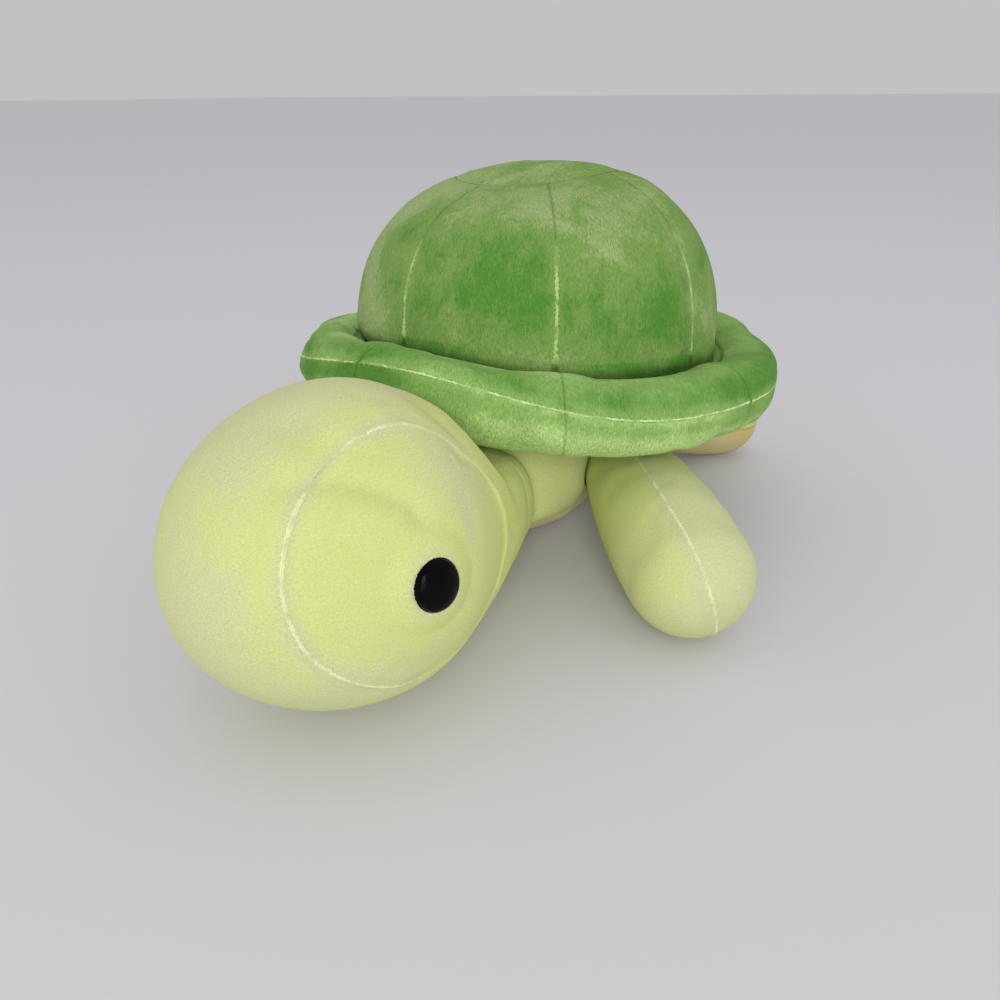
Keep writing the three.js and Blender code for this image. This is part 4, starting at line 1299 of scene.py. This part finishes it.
# The eye's washer draws the cloth in round its rim, and a low welt rises outside it
def seatEyes(mesh):
    points, _ = readMesh(mesh)
    for side in (1, -1):
        matrix = eyePlace(side)
        local = moveBy(matrix.inverted(), points)
        reach = np.hypot(local[:, 0] / eye["halfWidth"], local[:, 1] / eye["halfHeight"])
        near = (reach < 2.6) & (np.abs(local[:, 2]) < 0.02)
        welt = 0.0005 * np.sin(np.clip((reach - 0.9) / 0.5, 0, 1) * math.pi) - 0.0001
        wish = np.where(reach < 0.9, -0.0022, welt)
        share = 1 - smoothStep(1.1, 2.1, reach)
        local[:, 2] = np.where(near, local[:, 2] * (1 - share) + wish * share, local[:, 2])
        points = np.where(near[:, None], moveBy(matrix, local), points)
    writePoints(mesh, points)


# The pile hides the seam behind the cheek and under the chin
def headSeam(pair, place):
    local = moveBy(headMatrix.inverted(), place)
    hidden = smoothStep(-0.008, 0.008, local[1] - (0.012 if local[2] > 0 else -0.014))
    return 1 - hidden, 0.0


dart = [
    (0.053, 0.0216, 0.030), (0.056, 0.0208, 0.0247), (0.061, 0.0148, 0.018), (0.0637, 0.0131, 0.0075),
    (0.0643, 0.0124, 0.002),
]
brow = [
    (0.0384, -0.0415, 0.0412), (0.048, -0.0277, 0.0394), (0.0558, -0.0177, 0.0324), (0.0612, -0.009, 0.0237),
    (0.0627, -0.0083, 0.0198),
]
cheek = [(0.045, -0.046, 0.028), (0.055, -0.030, 0.026), (0.060, -0.018, 0.016)]
dent = [(0.0287, -0.0239, 0.0567), (0.0412, -0.0246, 0.0479)]
# Brushed patches on the head, and pale spots along its outline at the top, the nape under the brim, the face and the
# underside, which paint the paler sheen of the pile there
headBrushAndSheen = [(headPlace(*place), size, amount) for place, size, amount in (
    ((0.056, -0.037, 0.014), (0.034, 0.040, 0.040), -0.16),
    ((0.042, -0.017, 0.049), (0.024, 0.020, 0.014), -0.22),
    ((0.020, -0.015, 0.064), (0.045, 0.045, 0.024), 0.42),
    ((0.054, 0.020, 0.030), (0.026, 0.024, 0.026), 0.30),
    ((-0.020, -0.050, 0.040), (0.050, 0.045, 0.060), 0.34),
    ((0.004, -0.074, -0.005), (0.032, 0.034, 0.040), 0.34),
    ((0.046, -0.025, -0.043), (0.050, 0.050, 0.022), 0.34),
)]
seatEyes(headMesh)
lines = panelSeams(headMesh, panelNames["head"], headSeam, lips=False)
for side in (1, -1):
    addPath(lines, [headPlace(side * x, y, z) for x, y, z in dart], 1.0, 0.0003)
    # A pale ring round each eye: a painted highlight on the fabric's edge, drawn as a pale seam line
    wide, high = eye["halfWidth"] * eye["highlightRingShare"], eye["halfHeight"] * eye["highlightRingShare"]
    rim = [eyePlace(side) @ Vector((math.cos(turn) * wide, math.sin(turn) * high, 0)) for turn in turnsOf(24)]
    addPath(lines, rim + rim[:1], 1.0, 0.0)
shapeSeams(headMesh, lines, **head["sewing"])
pushCloth(headMesh, [
    ([headPlace(*place) for place in path], height, width)
    for path, height, width in ((brow, -0.0022, 0.0050), (cheek, 0.0014, 0.0090), (dent, -0.0022, 0.0090))
])
gussetLay = turnedLay(headMatrix, 0, 0.067, lambda local: local[:, 0])
sideLay = flatLay(headMatrix, 1, 2)
napeBend = ("neck", "head", rimPlace, neckPlace(neck["bendEnd"]))
headRim = rimLoop(headMesh, rimPlace, (0, 1, 0))
splitPanels("head", lambda piece, name: finishPanel(
    piece, name, napeBend, "skin", gussetLay if "Gusset" in name else sideLay, head["brush"], headBrushAndSheen,
    ["head_stuffing"] if "Gusset" in name else []))


# Shell

# Pale thread low on the shell and dark creases above
def domeSeam(pair, place):
    low = 1 - smoothStep(0.150, 0.180, place[2])
    return 1.4 * low - 0.45, 0.0010 - 0.0005 * low


def brimSeam(pair, place):
    strips = {name[:9] for name in pair}
    return (1.0, 0.0004) if len(strips) == 2 else (-0.35, 0.0007)


# Paints shade: turns the seam's own measure into a dark crease of painted shade where another piece presses in
def darkenAt(mesh, gapOf):
    points, _ = readMesh(mesh)
    gap = np.maximum(gapOf(points), 0)
    near = 1 - smoothStep(0.0008, 0.0016, gap)
    writeValue(mesh, "seam", np.minimum(readValue(mesh, "seam"), gap))
    writeValue(mesh, "tone", readValue(mesh, "tone") * (1 - near) - near)


# Pale along the shell and the lower edge, deep on both sides of the middle seam, and darker round a turn of 105
# degrees, painted shade where the light falls off on that side
def brimBrush(points):
    turn = turnOf(points)
    past = rollAngle(points) - brimSeamAngle(turn)
    upper = 0.30 + 0.36 * smoothStep(0.35, 1.25, past) - 0.26 * waveAt(turn, 105, 45)
    lower = 0.38 + 0.42 * smoothStep(0.10, 0.75, -past)
    lower += 0.14 * waveAt(turn, 50, 50) - 0.40 * waveAt(turn, -15, 45) - 0.30 * waveAt(turn, 105, 40)
    return np.where(past > 0, upper, lower)


def brimLay(points, centres):
    turn = unwrapped(turnOf(points), turnOf(centres))
    return np.column_stack([turn * 0.13, unwrapped(rollAngle(points), rollAngle(centres)) * brim["rollRadius"]])


# Along a gore, the angle up from the shell's foot
def goreRise(local):
    return np.arctan2(local[:, 2], np.hypot(local[:, 0], local[:, 1])) * 0.105


shellSpots = [(domePlace(*place), size, amount) for place, size, amount in (
    ((6, 18), (0.052, 0.040, 0.034), -0.24),
    ((55, 6), (0.050, 0.050, 0.026), -0.28),
    ((48, 30), (0.012, 0.016, 0.012), 0.30),
    ((-42, 16), (0.034, 0.050, 0.040), 0.26),
    ((24, 62), (0.110, 0.080, 0.040), 0.26),
)]
domeMesh, brimMesh = forms["dome"].data, forms["brim"].data
shapeSeams(domeMesh, panelSeams(domeMesh, panelNames["dome"], domeSeam), **dome["sewing"])
# Painted shade in the crease where the brim's roll meets the dome
darkenAt(domeMesh, lambda points: (rollDistance(points) - brim["rollRadius"] - 0.0006) * 0.22)
goreLay = turnedLay(domeMatrix, 2, 0.105, goreRise)
topLay = flatLay(domeMatrix, 0, 1)
splitPanels("dome", lambda piece, name: finishPanel(
    piece, name, "torso", "shell", topLay if "Top" in name else goreLay, dome["brush"], shellSpots,
    ["shell_stuffing"] if "Top" in name else []))

shapeSeams(brimMesh, panelSeams(brimMesh, panelNames["brim"], brimSeam), **brim["sewing"])
# Painted shade along the underside of the roll where it meets the dome
darkenAt(brimMesh, lambda points: np.abs(rollAngle(points) - math.radians(134)) * brim["rollRadius"] * 0.6)
splitPanels("brim", lambda piece, name: finishPanel(
    piece, name, "torso", "brim", brimLay, brimBrush, [],
    ["brim_stuffing"] if name == "brimUpper1" else []))
print("body, head and shell split into panels")


# Limbs

def limbPieces(name, limb, side):
    mesh = forms[name].data
    hidden = panelNames[name].index("hidden")
    editMesh(mesh, lambda work: bmesh.ops.delete(
        work, geom=[face for face in work.faces if face.material_index == hidden], context="FACES"))
    lines = panelSeams(mesh, panelNames[name], lambda pair, place: limb["seam"])
    shapeSeams(mesh, lines, seed=limbCover["seed"] + side, **limbCover["sewing"])
    matrix, length = limbMatrix(limb, side)
    start, end, tip = [matrix @ Vector((along, 0, 0)) for along in (limb["bendStart"], limb["bendEnd"], length)]
    layOf = turnedLay(matrix, 0, 0.03, lambda local: local[:, 0])
    spots = [(tip, [limbCover["tipSpread"]] * 3, limb["tipBrush"])]
    bodyName = toCadName(name)

    def finishPiece(piece, panel):
        isFirst = panel == panelNames[name][0]
        finishPanel(
            piece, panel, ("torso", bodyName, start, end), "belly" if "Sole" in panel else "skin", layOf,
            limb["brush"][0 if isFirst else 1], spots, [bodyName + "_stuffing"] if isFirst else [])

    splitPanels(name, finishPiece)


for name, limb, side in limbs:
    limbPieces(name, limb, side)


# Neck sleeve and the panel under the shell, each a sheet of rows turned in at its edges

def sheetPiece(name, points):
    flat, cells = sheetPatch(points, name)
    mesh = newMesh(name, flat, [corners for corners, _ in cells])
    shadeSmooth(mesh)
    for key, value in (("seam", 0.02), ("tone", 0.0)):
        writeValue(mesh, key, np.full(len(flat), value))

    def join(work):
        joinPoints(work, 1e-5)
        for edge in work.edges:
            edge.smooth = len(edge.link_faces) == 2 and edge.calc_face_angle() < 0.9

    editMesh(mesh, join)
    return addObject(name, mesh)


# The fold of the nape: from the open edge of the head's cover round and in to the body's, each row a pair
# of a place along Y and a distance from the neck's line
def neckSleeve():
    turns = turnsOf(neck["columns"])
    start, end = [
        np.stack([np.interp(turns, turn, along), np.interp(turns, turn, wide)], -1)
        for turn, wide, along in (headRim, bodyRim)
    ]
    run, rise = (end - start).T
    opened = smoothStep(-0.004, 0.006, rise)
    closed = 1 - opened
    first = start + np.stack([0.45 * run, -0.10 * run], -1)
    last = end + np.stack([
        0.0030 * closed - 0.35 * run * opened,
        0.85 * np.maximum(-rise, 0) * closed - 0.15 * run * opened,
    ], -1)
    end += np.array([0.0004, -0.0006])
    rows = []
    for share in np.linspace(0, 1, neck["foldRows"]):
        rest = 1 - share
        pull = first * 3 * rest ** 2 * share + last * 3 * rest * share ** 2
        rows.append(start * rest ** 3 + pull + end * share ** 3)
    rows += [end + np.array([0.0008, -depth]) for depth in (0.0010, 0.0030)]
    rows += [start + np.array([-0.0015, -depth]) for depth in (0.0030, 0.0010)] + [start]
    rows = np.array(rows)
    points = np.stack([np.cos(turns) * rows[..., 1], rows[..., 0], np.sin(turns) * rows[..., 1]], -1) + neckCentre
    points[..., 2] = np.maximum(points[..., 2], 0.0003)
    finishPanel(
        sheetPiece("neckSleeve", points), "neckSleeve", ("torso", "neck", lipMiddle, rimPlace), "skin", sideLay,
        head["brush"], headBrushAndSheen, ["neck_stuffing"])


def basePoints(turns, distance, lift=0.0):
    flat = turnedPlace(turns, distance, np.zeros(len(turns)))
    flat[:, 2] = baseHeight(flat) - shellBase["thickness"] + lift
    return flat


# Where the base panel meets the underside of the roll
def baseEdge(turns):
    reach = np.linspace(0.06, dome["halfWidth"], 400)
    found = np.full(len(turns), reach[0])
    clear = brim["rollRadius"] + shellBase["clearance"]
    for value in reach:
        found = np.where((rollDistance(basePoints(turns, value)) > clear) & (found >= value - 0.0006), value, found)
    return found


def basePanel():
    turns = turnsOf(shellBase["columns"], firstSeam)
    edge = baseEdge(turns)
    under = [(share, 0.0) for share in (0.02, 0.15, 0.3, 0.45, 0.6, 0.72, 0.82, 0.9, 0.96, 1.0)]
    over = [(1.0, 0.0015), (0.96, 0.0028), (0.5, 0.0030), (0.02, 0.0030), (0.02, 0.0)]
    rows = [basePoints(turns, edge * share, lift) for share, lift in under + over]
    finishPanel(
        sheetPiece("shellBasePanel", np.array(rows)), "shellBasePanel", "torso", "brim", flatLay(identity, 0, 1),
        shellBase["brush"], [])


neckSleeve()
basePanel()


# Eyes and their washers

def addEye(name, side):
    top = eye["rim"] - eye["seat"]
    profile = [
        (0.90, -eye["seat"] - 0.0004), (1.0, -eye["seat"]), (1.02, 0.0), (1.0, top * 0.8), (0.97, top),
    ]
    for step in range(1, eye["rows"] + 1):
        angle = math.pi / 2 * step / (eye["rows"] + 0.5)
        profile.append((0.97 * math.cos(angle), top + eye["dome"] * math.sin(angle)))
    around = eye["columns"]
    turns = turnsOf(around)
    wide, high = np.cos(turns) * eye["halfWidth"], np.sin(turns) * eye["halfHeight"]
    rows = [np.stack([wide * share, high * share, np.full(around, height)], -1) for share, height in profile]
    flat, cells = sheetPatch(np.array(rows), name)
    ends = [tuple(range(around)), tuple(range(len(flat) - around, len(flat)))[::-1]]
    mesh = newMesh(name, moveBy(eyePlace(side), flat), [corners for corners, _ in cells] + ends)
    shadeSmooth(mesh)
    editMesh(mesh, lambda work: bmesh.ops.recalc_face_normals(work, faces=work.faces))
    mesh.materials.append(eyePlastic)
    made = addObject(name, mesh)
    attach(made, "head")
    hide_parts(toCadName(name))


for name, side, washer in (("eyeLeft", 1, "eye_washer_left"), ("eyeRight", -1, "eye_washer_right")):
    addEye(name, side)
    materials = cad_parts[washer].data.materials
    materials.clear()
    materials.append(palePlastic)
print("eyes and washers ready")
